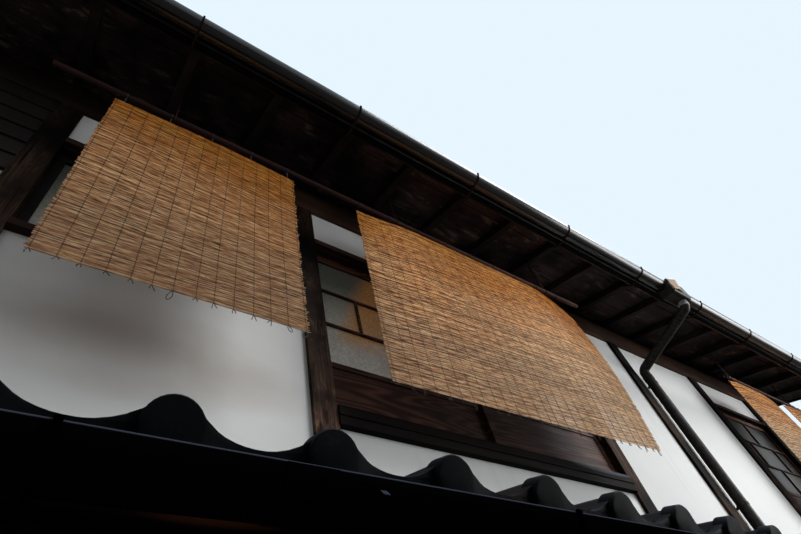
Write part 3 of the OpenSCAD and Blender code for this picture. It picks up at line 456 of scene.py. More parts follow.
def stone(name, body):
    g = Graph(name)
    grit = g.noise(120.0, detail=4.0)
    clouds = g.noise(4.0, detail=5.0)
    colour = g.mix(g.remap(grit, 0.35, 0.65), tuple(c * 0.75 for c in body), body)
    colour = g.mix(g.remap(clouds, 0.45, 0.75, 0.0, 0.5), colour, tuple(c * 0.55 for c in body))
    return g.set(colour, 0.9, g.bump(g.plus(grit, clouds), 0.003, 0.6))


def pale_floor(name, seen, bounced):
    """A matt floor that looks pale but throws little light back up at the eaves."""
    g = Graph(name)
    g.set(seen, 0.9)
    dim = g.fill(g.node("ShaderNodeBsdfDiffuse"), Color=bounced)
    rays = g.node("ShaderNodeLightPath")
    g.surface(rays.outputs["Is Camera Ray"], dim.outputs[0], g.shader.outputs[0])
    return g.material


# Painted light and shade: the posts lighter low down, darker under the eave and towards +X
POST = weathered_wood(
    "post_timber", "Z", "#120c09", "#43332a", "#957560", stain=0.95, edge=1.0, crack=1.0,
    patch="#7f6049", lift=(3.0, 4.2, 1.5, 0.3), fade=(-1.7, -0.2, 1.0, 0.45), gloss=0.05,
)
# Painted shade: the beams darker towards their left end
BEAM = weathered_wood(
    "beam_timber", "X", "#21150f", "#4d362b", "#6c5446", stain=0.5, edge=0.3,
    fade=(-3.2, -2.0, 0.3, 1.0),
)
JOIST = weathered_wood("joist_timber", "Y", "#140e0b", "#2a1e19", "#43342b", stain=0.5)
RAFTER = weathered_wood("rafter_timber", "Y", "#0d0909", "#221816", "#4a3a33", stain=0.5, edge=0.7)
# Painted shade: the eave boards darker towards +X
EAVE_BOARD = weathered_wood(
    "eave_boards_wood", "X", "#181011", "#413031", "#6e5b56", stain=0.95, edge=0.3, patch="#8b7865",
    fade=(-1.5, 1.0, 1.15, 0.62), tone=True,
)
# Painted shade: the fascias darker, the lower roof's five times darker; the blot is a soft brown streak
# just under the lower gutter
FASCIA = weathered_wood(
    "fascia_timber", "X", "#060606", "#0d0b0b", "#1a1715", stain=0.6, edge=0.1,
    lift=(2.5, 3.5, 0.2, 0.8), blot=("#4a2610", -2.75, 2.137, 0.12, 0.009, 0.6), gloss=0.02,
)
# Painted light and shade: the frames near black low down and twice as light up high, with a painted
# bluish reflection on the sill
FRAME = weathered_wood(
    "window_timber", "X", "#150e0c", "#35251e", "#4d3b31", stain=0.6, edge=0.15,
    lift=(3.1, 4.1, 0.16, 2.0), blot=("#6a7180", -0.42, 3.032, 0.3, 0.02, 0.5), gloss=0.07,
)
# Painted light: the sashes lighter towards their tops
SASH = weathered_wood(
    "sash_timber", "X", "#1e0f0a", "#47291f", "#6c4b3b", stain=0.5, rings=0.32, edge=0.2, rough=0.6,
    crack=0.2, lift=(3.6, 4.05, 0.95, 1.9),
)
# A darker copy of the sash timber for the left window: painted shade
SHADED_SASH = weathered_wood("shaded_sash_timber", "Z", "#0c0908", "#1c1512", "#33271f", edge=0.2)
OLD_BOARD = weathered_wood("old_boards", "X", "#0d0907", "#1d1512", "#30251f", stain=0.5, edge=0.2)
# Painted shade: the poles darker towards their left end
POLE = weathered_wood(
    "pole_wood", "X", "#1b0d0a", "#41261f", "#6d4c3e", stain=0.3, crack=0.3,
    fade=(-3.0, 0.2, 0.55, 1.25),
)
HANGER = weathered_wood("hanger_wood", "Z", "#170f0c", "#382620", "#54413a", stain=0.3)
FLOOR_BOARD = weathered_wood("floor_boards", "X", "#3b2a1e", "#6d5038", "#8c6d4f", stain=0.3)
# Brownish blots on the plaster below the left shade: partly grime, partly painted shade
STAINS_AND_SHADE = [
    (-2.80, 3.10, 0.62, 0.24, 0.26),
    (-2.86, 3.12, 0.36, 0.12, 0.16),
    (-2.40, 3.06, 0.30, 0.14, 0.12),
]
WALL = plaster("white_plaster", (0.69, 0.705, 0.70), "#8b8274", STAINS_AND_SHADE)
END_WALL = plaster("party_wall_plaster", (0.60, 0.59, 0.56), "#7d7466")
TILE = fired_tile("roof_tile", "#0e0f11", "#1a1d22", tone=True)
TILE_PLAIN = fired_tile("ridge_tile", "#0f1011", "#202226")
GUTTER = painted_metal(
    "gutter_paint", "#0c0908", "#1b1614", rough=0.24, specular=0.45, rust=0.06
)
# The lower gutters: a near black copy of the gutter paint, painted shade
SHADED_GUTTER = painted_metal(
    "low_gutter_painted_shade", "#030303", "#050404", rough=0.6, specular=0.0, rust=0.08,
    rim=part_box("pent_gutters")[1].z - 5 * MM,
)
PIPE = painted_metal("pipe_paint", "#1c1816", "#36302c", rough=0.42, specular=0.12)
IRON = hoop_iron("hoop_iron")
CLIP_METAL = plain("clip_metal", "#2c3443", 0.9, spread=0.15, specular=0.1)
RUST = plain("rusty_plate", "#93704c", 0.75, lumps=45.0, spread=0.35)
BARE_METAL = plain("bare_metal", "#8f8f91", 0.45, lumps=70.0, spread=0.45)
# Painted light and shade: the batten darker to the left and lighter to the right
BATTEN = weathered_wood(
    "batten_wood", "X", "#1a110e", "#3a2a22", "#6b5040", stain=0.8, edge=0.3, patch="#8c6a52",
    fade=(-1.2, 1.2, 0.3, 1.3),
)
GLASS = figured_glass("window_glass")
REED = reed("shade_reed")
TWINE = plain("shade_twine", "#1f1813", 0.85, lumps=200.0)
STONE = stone("base_stone", (0.30, 0.29, 0.27))
EARTH = stone("earth_floor", (0.36, 0.33, 0.29))

# The nodes that take each material
FINISHES = {
    STONE: ["base_stones"],
    EARTH: ["ground_floor"],
    POST: ["front_posts", "back_posts"],
    BEAM: ["ground_sills", "middle_beams", "wall_beams", "ridge_beam", "pent_roof_purlins"],
    JOIST: ["floor_joists", "pent_roof_arms"],
    RAFTER: ["roof_rafters", "pent_roof_rafters", "eave_blocking"],
    FASCIA: ["eave_fascias"],
    FRAME: ["front_window_frames", "back_window_frames"],
    SHADED_SASH: ["left_window_sashes"],
    SASH: [
        "middle_window_sashes", "right_window_sashes", "back_window_sashes",
        "lower_window_sashes", "entrance_doors",
    ],
    OLD_BOARD: ["board_panel"],
    POLE: ["shade_poles"],
    HANGER: ["pole_hangers"],
    FLOOR_BOARD: ["upper_floor"],
    WALL: ["front_plaster", "back_plaster"],
    END_WALL: ["left_party_wall", "right_party_wall"],
    TILE_PLAIN: ["ridge_tiles", "ridge_end_tiles", "verge_tiles"],
    GUTTER: ["roof_gutters"],
    SHADED_GUTTER: ["pent_gutters"],
    PIPE: ["front_downpipes", "back_downpipes"],
    IRON: ["gutter_hangers"],
    GLASS: ["window_glass"],
    TWINE: ["shade_ties"],
}
for material, names in FINISHES.items():
    for name in names:
        slots = NODES[name].data.materials
        slots.clear()
        slots.append(material)


# Meshes


def frames(path, side):
    """The points of a path, each with two directions square to the path there. side is a
    direction that the path never follows."""
    last = len(path) - 1
    for i, here in enumerate(path):
        ahead = (path[min(i + 1, last)] - path[max(i - 1, 0)]).normalized()
        u = ahead.cross(side).normalized()
        yield here, u, ahead.cross(u)


def circle(here, u, v, radius, angles):
    return [here + radius * (math.cos(a) * u + math.sin(a) * v) for a in angles]


class Shape:
    """Points, faces and a tone for each point, gathered into one mesh."""

    def __init__(self):
        self.points, self.faces, self.tones = [], [], []

    def add(self, points, faces, tone):
        base = len(self.points)
        self.points.extend(points)
        self.faces.extend([tuple(base + i for i in face) for face in faces])
        self.tones.extend([tone] * len(points))

    def box(self, low, high, tone=0.5):
        xs, ys, zs = zip(low, high)
        self.add([(x, y, z) for x in xs for y in ys for z in zs], BOX_FACES, tone)

    def tube(self, path, radius, sides, tone, side=Vector((0, 1, 0))):
        """A round rod along a path, of one tone or a tone for each point of the path."""
        last = len(path) - 1
        angles = [2 * math.pi * k / sides for k in range(sides)]
        points = []
        for spot in frames(path, side):
            points += circle(*spot, radius, angles)
        faces = []
        for i in range(last):
            a, b = i * sides, (i + 1) * sides
            for k in range(sides):
                n = (k + 1) % sides
                faces.append((a + k, a + n, b + n, b + k))
        faces.append(tuple(range(sides))[::-1])
        faces.append(tuple(last * sides + k for k in range(sides)))
        self.add(points, faces, tone)
        if isinstance(tone, list):
            self.tones[-len(points) :] = [t for t in tone for _ in range(sides)]

    def sleeve(self, path, inner, outer, sides, tone=0.5, first=0.0, sweep=360.0, side=Vector((0, 1, 0))):
        """A tube with a wall, open at both ends, or only a part of one that sweeps from an angle."""
        whole = sweep >= 360
        columns = sides if whole else sides + 1
        last = len(path) - 1
        angles = [math.radians(first + sweep * k / sides) for k in range(columns)]
        points = []
        for spot in frames(path, side):
            points += circle(*spot, outer, angles) + circle(*spot, inner, angles)
        wide = 2 * columns
        faces = []
        for k in range(sides):
            n = (k + 1) % columns
            for i in range(last):
                a, b = i * wide, (i + 1) * wide
                faces.append((a + k, a + n, b + n, b + k))
                faces.append((a + columns + n, a + columns + k, b + columns + k, b + columns + n))
            e = last * wide
            faces.append((n, k, columns + k, columns + n))
            faces.append((e + k, e + n, e + columns + n, e + columns + k))
        if not whole:
            for k in (0, sides):
                for i in range(last):
                    a, b = i * wide + k, (i + 1) * wide + k
                    if k:
                        a, b = b, a
                    faces.append((a, b, b + columns, a + columns))
        self.add(points, faces, tone)

    def plate(self, corners, out, tone=0.5):
        """A flat sheet over four corners in order, thickened along a vector."""
        self.add([*corners, *(c + out for c in corners)], PLATE_FACES, tone)

    def build(self, name, material, stands_for=(), smooth=False):
        """The mesh as a piece of the body, in place of the nodes it stands for."""
        mesh = bpy.data.meshes.new(name)
        mesh.from_pydata([tuple(p) for p in self.points], [], self.faces)
        mesh.attributes.new("tone", "FLOAT", "POINT").data.foreach_set("value", self.tones)
        if smooth:
            mesh.shade_smooth()
            mesh.set_sharp_from_angle(angle=math.radians(SHARP))
        mesh.materials.append(material)
        mesh.update()
        piece = placed(name, mesh)
        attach(piece, "root")
        if stands_for:
            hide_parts(*stands_for)
        return piece


BOX_FACES = [(0, 1, 3, 2), (4, 6, 7, 5), (0, 4, 5, 1), (2, 3, 7, 6), (0, 2, 6, 4), (1, 5, 7, 3)]
PLATE_FACES = [(3, 2, 1, 0), (4, 5, 6, 7), (0, 1, 5, 4), (1, 2, 6, 5), (2, 3, 7, 6), (3, 0, 4, 7)]
# Degrees from which an edge stays sharp
SHARP = 38


# Reed shades

REED_PITCH = 5.0 * MM
REED_R = 2.4 * MM
REED_SIDES = 4
REED_STEP = 34 * MM
# The tone of a reed, what it loses of the last reed's tone, and how much it varies
MEAN_TONE = 0.58
CONTRAST = 0.5
MOTTLE = 0.1
# The share of reeds that are dark, and of hem cords that end in a loop
DARK_REEDS, LOOPED = 0.05, 0.35
TWINE_PITCH = 68 * MM
TWINE_R = 0.85 * MM
TWINE_SIDES = 3
# In parts of a shade's width
TWINE_EDGE = 0.012
TWINE_STRAY = 0.004
LEFT_DROOP = 0.25
HEM_R = 1.4 * MM
HEM_LOOP = 38 * MM
HEM_HALF_W = 7 * MM
HEM_SIDES = 5
# A loop of cord, in parts of its half width and of its drop
HEM_RING = (
    (-0.2, 0.0), (-0.9, 0.35), (-1.1, 0.65), (-0.7, 0.93), (0.1, 1.0), (0.9, 0.85), (1.1, 0.55),
    (0.6, 0.2), (0.1, 0.0),
)


def ease(t):
    """A smooth step from 0 to 1."""
    t = min(max(t, 0.0), 1.0)
    return t * t * (3 - 2 * t)


def hem_cord(twine, end, rng):
    """The knotted end of a twine below the hem: an open loop, or two loose ends."""
    drop = HEM_LOOP * rng.uniform(0.45, 1.1)
    lean = rng.uniform(-0.35, 0.35)
    twist = rng.uniform(-6, 6) * MM

    def place(w, h):
        return end + Vector((w * HEM_HALF_W + lean * drop * h, twist * h, 3 * MM - drop * h))

    if rng.random() < LOOPED:
        twine.tube([place(w, h) for w, h in HEM_RING], HEM_R, HEM_SIDES, 0.4)
    else:
        for side in (-1, 1):
            length = rng.uniform(0.5, 1.0)
            curl = ((0.1, 0.0), (0.5, 0.3), (0.9, 0.7), (rng.uniform(0.5, 1.7), 1.0))
            twine.tube([place(side * w, h * length) for w, h in curl], HEM_R, HEM_SIDES, 0.4)


def reed_shade(node, top, bottom, out, seed, clump=1, vary=0.19):
    """A shade that replaces its board. top, bottom and out give, for a place u across it from
    0 to 1, the heights of its edges and how far out it hangs; out also takes v down it. clump is
    how many reeds in a row have like tones, and vary how much their tones differ."""
    rng = random.Random(seed)
    low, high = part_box(node)
    width = high.x - low.x

    def spot(u, v, lift=0.0):
        z0, z1 = top(u), bottom(u)
        return at(low.x + u * width, out(u, v) + lift, z0 + (z1 - z0) * v)

    reeds = Shape()
    count = int((high.z - low.z) / REED_PITCH)
    steps = int(width / REED_STEP)
    fresh, last = [0.0] * (steps + 1), [0.0] * (steps + 1)
    for k in range(count):
        v = (k + 0.5) / count
        radius = REED_R * rng.uniform(0.72, 1.12)
        sway = rng.uniform(0, 0.9) * MM
        phase = rng.uniform(0, 6.3)
        u0 = rng.gauss(-1, 2.5) * MM / width
        u1 = 1 + rng.gauss(-1, 4) * MM / width
        if k % clump == 0:
            shade = rng.gauss(0.0, vary)
            fresh, last = [shade + rng.gauss(0.0, vary) for _ in fresh], fresh
        dark = rng.uniform(0.2, 0.45) if rng.random() < DARK_REEDS else 0.0
        path, tones = [], []
        for i in range(steps + 1):
            u = u0 + (u1 - u0) * i / steps
            wave = sway * math.sin(phase + 9 * u * width)
            path.append(spot(u, v, rng.uniform(-0.4, 0.4) * MM) + Vector((0, 0, wave)))
            tone = MEAN_TONE + fresh[i] - CONTRAST * last[i] - dark + rng.gauss(0, MOTTLE)
            tones.append(min(max(tone, 0.0), 1.0))
        reeds.tube(path, radius, REED_SIDES, tones)
    reeds.build(node + "_reeds", REED, (node,), smooth=True)

    twine = Shape()
    strands = round(width / TWINE_PITCH)
    for s in range(strands + 1):
        u = TWINE_EDGE + (1 - 2 * TWINE_EDGE) * s / strands + rng.uniform(-TWINE_STRAY, TWINE_STRAY)
        drift = rng.uniform(-TWINE_STRAY, TWINE_STRAY)
        for face in (-1, 1):
            path = []
            for k in range(count):
                v = (k + 0.5) / count
                over = face * (1 if k % 2 else -1)
                lift = over * (REED_R + TWINE_R * 0.4)
                path.append(spot(u + drift * v + face * (0.6 * MM / width), v, lift))
            twine.tube(path, TWINE_R, TWINE_SIDES, rng.random(), side=Vector((1, 0, 0)))
        hem_cord(twine, spot(u + drift, 1.0), rng)
    twine.build(node + "_twine", TWINE, smooth=True)


def hung(node, right, left=0.0, right_from=0.8):
    """Top and bottom edges of a shade whose top corners droop by left and right."""
    low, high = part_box(node)

    def top(u):
        droop = left * ease((LEFT_DROOP - u) / LEFT_DROOP)
        past = max(u - right_from, 0.0) / (1 - right_from)
        return high.z - droop - right * past**2

    def bottom(u):
        return low.z

    return top, bottom


top, bottom = hung("left_shade", right=14 * MM, right_from=0.5)
reed_shade("left_shade", top, bottom, lambda u, v: POLE_OUT + 6 * MM * math.sin(5 * v + 3 * u), 11)
top, bottom = hung("middle_shade", left=58 * MM, right=190 * MM)
reed_shade(
    "middle_shade",
    top,
    lambda u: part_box("middle_shade")[0].z - 6 * MM * math.sin(3 * u),
    lambda u, v: POLE_OUT - 48 * MM * v * (1 - u) + 30 * MM * math.sin(math.pi * v) * u,
    12,
    vary=0.3,
)
top, bottom = hung("right_shade", left=40 * MM, right=60 * MM, right_from=0.75)
reed_shade("right_shade", top, bottom, lambda u, v: POLE_OUT + 20 * MM * math.sin(3 * v) * u, 13, 2, 0.25)
top, bottom = hung("end_shade", left=30 * MM, right=50 * MM, right_from=0.75)
reed_shade("end_shade", top, bottom, lambda u, v: POLE_OUT + 15 * MM * math.sin(3 * v + u), 14, 2, 0.25)


# Roofs


class Slope:
    """The top of a roof's boards as a plane: start is on its upper edge at X 0, down points down
    it, up points off it, and half is half the eave's length."""

    def __init__(self, node, back):
        low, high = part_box(node)
        points = [v.co for v in NODES[node].data.vertices if (v.co.y > 0) == back]
        side = 1 if back else -1
        inner = min(points, key=lambda p: (abs(p.y), -p.z))
        outer = max(points, key=lambda p: (abs(p.y), p.z))
        self.side = side
        self.start = Vector((0, inner.y, inner.z))
        line = Vector((0, outer.y, outer.z)) - self.start
        self.length = line.length
        self.down = line.normalized()
        self.up = Vector((0, side * -self.down.z, abs(self.down.y)))
        self.half = high.x

    def at(self, x, s, h):
        """The point at x along the eave, s down the slope and h above the boards."""
        return self.start + Vector((x, 0, 0)) + self.down * s + self.up * h

    def within(self, x):
        """The nearest place along the eave that is on the roof."""
        return min(max(x, -self.half), self.half)


UPPER = [Slope("roof_boards", back) for back in (False, True)]
LOWER = [Slope("pent_roof_boards", back) for back in (False, True)]

BOARD_JOINT = 3 * MM
FIRST_BOARD = 150 * MM
BOARD_W = 240 * MM
BOARD_T = 12 * MM
BOARD_LENGTH = 3.6
# How far the undersides of boards are set back at random, and that of the eave's board besides
BOARD_BACK = 1.2 * MM
EDGE_BACK = 4 * MM
# The least strip or length that still gets a board
LEAST = 10 * MM


def roof_boarding(name, node, slopes, seed):
    """Boards along the eave, in lengths: a narrow one at the edge, then wide ones up the slope."""
    rng = random.Random(seed)
    shape = Shape()
    for slope in slopes:
        s = slope.length
        width = FIRST_BOARD
        while s > LEAST:
            top = max(s - width, 0.0)
            x = -slope.half
            length = rng.uniform(0.35, 1.0) * BOARD_LENGTH
            while x < slope.half - LEAST:
                end = min(x + length, slope.half)
                back = rng.uniform(0, BOARD_BACK) + (EDGE_BACK if s == slope.length else 0.0)
                tone = rng.random()
                ring = [
                    slope.at(px, ps, h)
                    for px in (x + BOARD_JOINT / 2, end - BOARD_JOINT / 2)
                    for ps in (top + BOARD_JOINT, s)
                    for h in (back - BOARD_T, 0.0)
                ]
                shape.add(ring, BOX_FACES, tone)
                x = end
                length = BOARD_LENGTH
            s = top
            width = BOARD_W
    shape.build(name, EAVE_BOARD, (node,))


roof_boarding("eave_boards", "roof_boards", UPPER, 21)
roof_boarding("pent_boards", "pent_roof_boards", LOWER, 22)

TILE_PITCH = 257.8 * MM
TILE_FIRST = 34.9 * MM
TILE_T = 45 * MM
ROLL_H = 50 * MM
ROLL_R = 45 * MM
TILE_WALL = 17 * MM
FREE_EDGE = -60 * MM
TUCK = TILE_PITCH - 40 * MM
EDGE_DROP = 6 * MM
# How much of the wave's height is left where a tile is tucked under the next
TUCK_LIFT = 0.35
PROFILE_STEPS = 18
# How far a course runs under the one above it, and how deep
COURSE_LAP = 40 * MM
COURSE_SUNK = 13 * MM
ROLL_COUNT = int((2 * ROOF_X - TILE_FIRST) / TILE_PITCH) + 1
ARC = 2 * math.atan(2 * ROLL_H / TILE_PITCH)
TROUGH_R = TILE_PITCH / 2 / math.sin(ARC) - ROLL_R


def wave(x):
    """Height of the tiles' wavy face at x from a roll's crown, as in the part's source."""
    x = abs((x + TILE_PITCH / 2) % TILE_PITCH - TILE_PITCH / 2)
    if x < ROLL_R * math.sin(ARC):
        return ROLL_H - ROLL_R + math.sqrt(ROLL_R**2 - x**2)
    return TROUGH_R - math.sqrt(max(TROUGH_R**2 - (TILE_PITCH / 2 - x) ** 2, 0.0))


def tile_profile():
    """A tile from the free edge of its roll, over the crown and trough, to the edge tucked under
    the next roll: distances from the crown and heights."""
    width = TUCK - FREE_EDGE
    xs = [FREE_EDGE + width * k / PROFILE_STEPS for k in range(PROFILE_STEPS + 1)]
    return [(x, wave(x) if x < TILE_PITCH / 2 else TUCK_LIFT * wave(x)) for x in xs]


PROFILE = tile_profile()


def tile(shape, slope, crown_x, s0, s1, h0, h1, front_drop, tone):
    """One tile from s0 to s1 down the slope, its trough at h0 above the boards there and at h1
    at its foot, with a front face front_drop deep."""
    n = len(PROFILE)
    face = [(slope.within(crown_x + x), h) for x, h in PROFILE]
    points = [slope.at(x, s0, h0 + h) for x, h in face]
    points += [slope.at(x, s1, h1 + h) for x, h in face]
    points += [slope.at(x, s1, h1 + h - TILE_WALL - front_drop * (1 - h / ROLL_H)) for x, h in face]
    points += [slope.at(x, s0, h0 + h - TILE_WALL) for x, h in face]
    faces = []
    for r in range(3):
        for i in range(n - 1):
            quad = (r * n + i, r * n + i + 1, (r + 1) * n + i + 1, (r + 1) * n + i)
            faces.append(quad if slope.side < 0 else quad[::-1])
    for i in (0, n - 1):
        faces.append((i, n + i, 2 * n + i, 3 * n + i))
    shape.add(points, faces, tone)


def crowns():
    """The middles of the rolls along X."""
    return [-ROOF_X + TILE_FIRST + k * TILE_PITCH for k in range(ROLL_COUNT)]


def tiled_slope(shape, slope, courses, s_start, s_end, seed):
    """Courses of single tiles, each a little out of line, with deep fronts along the eave."""
    rng = random.Random(seed)
    run = (s_end - s_start) / courses
    for c in range(courses):
        s0 = s_start + c * run - (COURSE_LAP if c else 0.0)
        s1 = s_start + (c + 1) * run
        eave = c == courses - 1
        for crown in crowns():
            wobble = rng.uniform(-1.2, 1.2) * MM
            stray = rng.uniform(-1.5, 1.5) * MM
            h0 = TILE_T - COURSE_SUNK + wobble
            if eave:
                drop = TILE_T - TILE_WALL + EDGE_DROP
                tile(shape, slope, crown, s0, s1, h0, TILE_T, drop, rng.random())
            else:
                tile(shape, slope, crown, s0, s1 + stray, h0, TILE_T + wobble, 0.0, rng.random())


END_R = 45.5 * MM
END_T = 10 * MM
END_DOME = 1 * MM
END_RISE = 5 * MM
END_ROUND = 3 * MM
END_BACK = 30 * MM
VALANCE_H = 52 * MM
VALANCE_STOP = TILE_PITCH - 38 * MM
MERGE = 52 * MM
BAND_STEPS = 9
# Places down a front, and angles on the left and right of its round end
ROWS = (0.0, 0.03, 0.08, 0.2, 0.4, 0.7, 1.0)
LEFT_ANGLES = (0, 8, 18, 30, 42, 54, 66, 78, 90)
RIGHT_ANGLES = (12, 24, 36, 48, 60, 70, 80)


def eave_front(shape, slope, crown, s, tone):
    """Front of one eave tile: a round end that runs smoothly into the wavy band on its right."""
    hc = TILE_T + ROLL_H + END_RISE - END_R
    columns = [-END_R * math.cos(math.radians(a)) for a in LEFT_ANGLES]
    columns += [END_R * math.sin(math.radians(a)) for a in RIGHT_ANGLES]
    columns += [END_R + (VALANCE_STOP - END_R) * k / BAND_STEPS for k in range(BAND_STEPS + 1)]

    def disc(x):
        return math.sqrt(max(END_R**2 - x**2, 0.0)) if abs(x) < END_R else 0.0

    def limits(x):
        if x <= 0:
            return hc + disc(x), hc - disc(x)
        crest = TILE_T + wave(x)
        over = hc + disc(x) if x < END_R else crest
        under = hc - disc(x) if x < END_R else crest
        return max(crest, over), min(crest - VALANCE_H, under)

    def front(x, h, high):
        here = math.hypot(x, h - hc)
        near = END_R - here if x <= 0 or here < END_R and x < END_R * 0.5 else high - h
        near = min(max(near, 0.0), END_ROUND) / END_ROUND
        lost = END_ROUND * (1 - math.sqrt(1 - (1 - near) ** 2))
        proud = END_T * (1 - ease((x - END_R * 0.85) / MERGE))
        dome = END_DOME * max(0.0, 1 - (here / END_R) ** 2)
        return proud + dome - lost

    rows = len(ROWS)
    points, high_rim, low_rim = [], [], []
    for i, x in enumerate(columns):
        high, low = limits(x)
        for v in ROWS:
            h = high + (low - high) * v
            points.append(slope.at(slope.within(crown + x), s + front(x, h, high), h))
        high_rim.append((i * rows, x, high))
        low_rim.append((i * rows + rows - 1, x, low))
    faces = []
    for i in range(len(columns) - 1):
        for k in range(rows - 1):
            a, b = i * rows + k, (i + 1) * rows + k
            faces.append((a, b, b + 1, a + 1))
    rim = high_rim + low_rim[::-1]
    base = len(points)
    for _, x, h in rim:
        points.append(slope.at(slope.within(crown + x), s - END_BACK, h))
    for j in range(len(rim)):
        n = (j + 1) % len(rim)
        faces.append((rim[j][0], base + j, base + n, rim[n][0]))
    if slope.side > 0:
        faces = [face[::-1] for face in faces]
    shape.add(points, faces, tone)


def eave_fronts(shape, slope, s, seed):
    rng = random.Random(seed)
    for crown in crowns():
        eave_front(shape, slope, crown, s, rng.random())


RIDGE_GAP = 40 * MM
UPPER_COURSES = 14
PENT_COURSES = 4
TILE_PAST = 10 * MM
PENT_TILE_PAST = 3 * MM
FLASH_W, FLASH_STEP, FLASH_T = 70 * MM, 12 * MM, 28 * MM

fronts = Shape()
for slope, node, seed in zip(UPPER, ("front_roof_tiles", "back_roof_tiles"), (31, 32)):
    foot = slope.length + TILE_PAST / abs(slope.down.y)
    tiles = Shape()
    tiled_slope(tiles, slope, UPPER_COURSES, RIDGE_GAP, foot, seed)
    tiles.build(node + "_laid", TILE, (node,), smooth=True)
    eave_fronts(fronts, slope, foot, seed + 10)
pent = Shape()
wall_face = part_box("front_posts")[0]
for slope, seed in zip(LOWER, (33, 34)):
    foot = slope.length + PENT_TILE_PAST / abs(slope.down.y)
    tiled_slope(pent, slope, PENT_COURSES, 0.0, foot, seed)
    eave_fronts(fronts, slope, foot, seed + 10)
    top_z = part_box("pent_roof_tiles")[1].z
    for k in range(2):
        reach = slope.side * (abs(wall_face.y) + FLASH_W - FLASH_STEP * k)
        z = top_z - (2 - k) * (FLASH_T + 2 * MM)
        near, far = sorted((slope.side * abs(wall_face.y), reach))
        pent.box((wall_face.x, near, z), (-wall_face.x, far, z + FLASH_T))
pent.build("pent_tiles_laid", TILE, ("pent_roof_tiles",), smooth=True)
fronts.build("eave_tile_fronts", TILE, ("eave_tile_ends",), smooth=True)


# Small repairs and fittings on the rain goods of the street side

GUTTER_R = 52 * MM
GUTTER_MID = 634 * MM
PENT_MID = 758 * MM
PENT_RIM = 2.162
SLEEVE_X, SLEEVE_W, SLEEVE_SIDES = -2.663, 81 * MM, 24
CLIP_X, CLIP_Z = -2.549, 2.140
PIPE_X = 1.007
PIPE_R = 37.5 * MM
HOPPER_FRONT = 708 * MM
HOPPER_LEFT = PIPE_X - 0.190
NECK_LOW = 4.390
ELBOW_R = 45 * MM
SKIN = 1.5 * MM
CLEAR = 0.2 * MM

joint = Shape()
joint.sleeve(
    [at(SLEEVE_X + side * SLEEVE_W / 2, PENT_MID, PENT_RIM) for side in (-1, 1)],
    GUTTER_R + CLEAR,
    GUTTER_R + SKIN,
    SLEEVE_SIDES,
    first=90,
    sweep=180,
)
joint.build("gutter_joint", SHADED_GUTTER, smooth=True)

# How far the corners of the clip are from its middle
CLIP_NEAR, CLIP_FAR, CLIP_HALF_H = 3 * MM, 8 * MM, 3 * MM
CLIP_T = 2 * MM

clip = Shape()
clip_out = PENT_MID + math.sqrt(GUTTER_R**2 - (PENT_RIM - CLIP_Z) ** 2) + SKIN
clip.plate(
    [
        at(CLIP_X - CLIP_FAR, clip_out, CLIP_Z + CLIP_HALF_H),
        at(CLIP_X + CLIP_NEAR, clip_out, CLIP_Z + CLIP_HALF_H),
        at(CLIP_X + CLIP_FAR, clip_out + 1 * MM, CLIP_Z - CLIP_HALF_H),
        at(CLIP_X - CLIP_NEAR, clip_out + 1 * MM, CLIP_Z - CLIP_HALF_H),
    ],
    Vector((0, -CLIP_T, 0)),
)
clip.build("gutter_clip", CLIP_METAL)

SHEET_TOP, SHEET_LOW = 4.541, 4.424
SHEET_T = 1.2 * MM
FOLD_OUT = 28 * MM
FOLD_OVER = 4 * MM


def fold_line(top_x, low_x, top_out=SKIN, low_out=SKIN, over=0.0):
    """Top and foot of a fold: how far each is from the hopper's left end and out from its street
    side. over makes the fold longer."""
    return (
        at(HOPPER_LEFT + top_x, HOPPER_FRONT + top_out, SHEET_TOP + over),
        at(HOPPER_LEFT + low_x, HOPPER_FRONT + low_out, SHEET_LOW - over),
    )


# A rusty sheet folded over the hopper's street side, wider and further out at its top
sheet = Shape()
fold = [
    fold_line(2 * MM, 5 * MM),
    fold_line(92 * MM, 52 * MM, FOLD_OUT, FOLD_OUT / 2, FOLD_OVER),
    fold_line(165 * MM, 120 * MM),
]
for near, far in zip(fold, fold[1:]):
    sheet.plate([near[0], far[0], far[1], near[1]], Vector((0, SHEET_T, 0)))
sheet.build("hopper_patch", RUST)

# Pale metal: a lip over the sheet, a strip on the hopper's end, and bands round the pipe's neck
LIP_H = 9 * MM
STRIP_TOP, STRIP_LOW, STRIP_W = 4.500, 4.430, 12 * MM
NECK_BANDS = ((8.5 * MM, 18.5 * MM), (-2 * MM, 6 * MM))
BAND_SIDES = 32

bands = Shape()
lip = Vector((0, 0, LIP_H))
bands.plate([fold[0][0] + lip, fold[1][0] + lip, fold[1][0], fold[0][0]], Vector((0, -SKIN, 0)), 0.8)
strip = ((0, STRIP_TOP), (0, STRIP_LOW), (STRIP_W, SHEET_LOW), (0.75 * STRIP_W, STRIP_TOP))
corners = [at(HOPPER_LEFT - SKIN, HOPPER_FRONT - back, z) for back, z in strip]
bands.plate(corners, Vector((SKIN, 0, 0)))
for band in NECK_BANDS:
    ends = [at(PIPE_X, GUTTER_MID, NECK_LOW + z) for z in band]
    bands.sleeve(ends, PIPE_R + CLEAR, PIPE_R + 2 * SKIN, BAND_SIDES, 0.6)
elbow = []
for degrees in (3, 9, 15, 21):
    a = math.radians(degrees)
    elbow.append(at(PIPE_X, GUTTER_MID - ELBOW_R * (1 - math.cos(a)), NECK_LOW - ELBOW_R * math.sin(a)))
bands.sleeve(elbow, PIPE_R + CLEAR, PIPE_R + SKIN, BAND_SIDES, 0.4, side=Vector((1, 0, 0)))
bands.build("neck_bands", BARE_METAL, smooth=True)

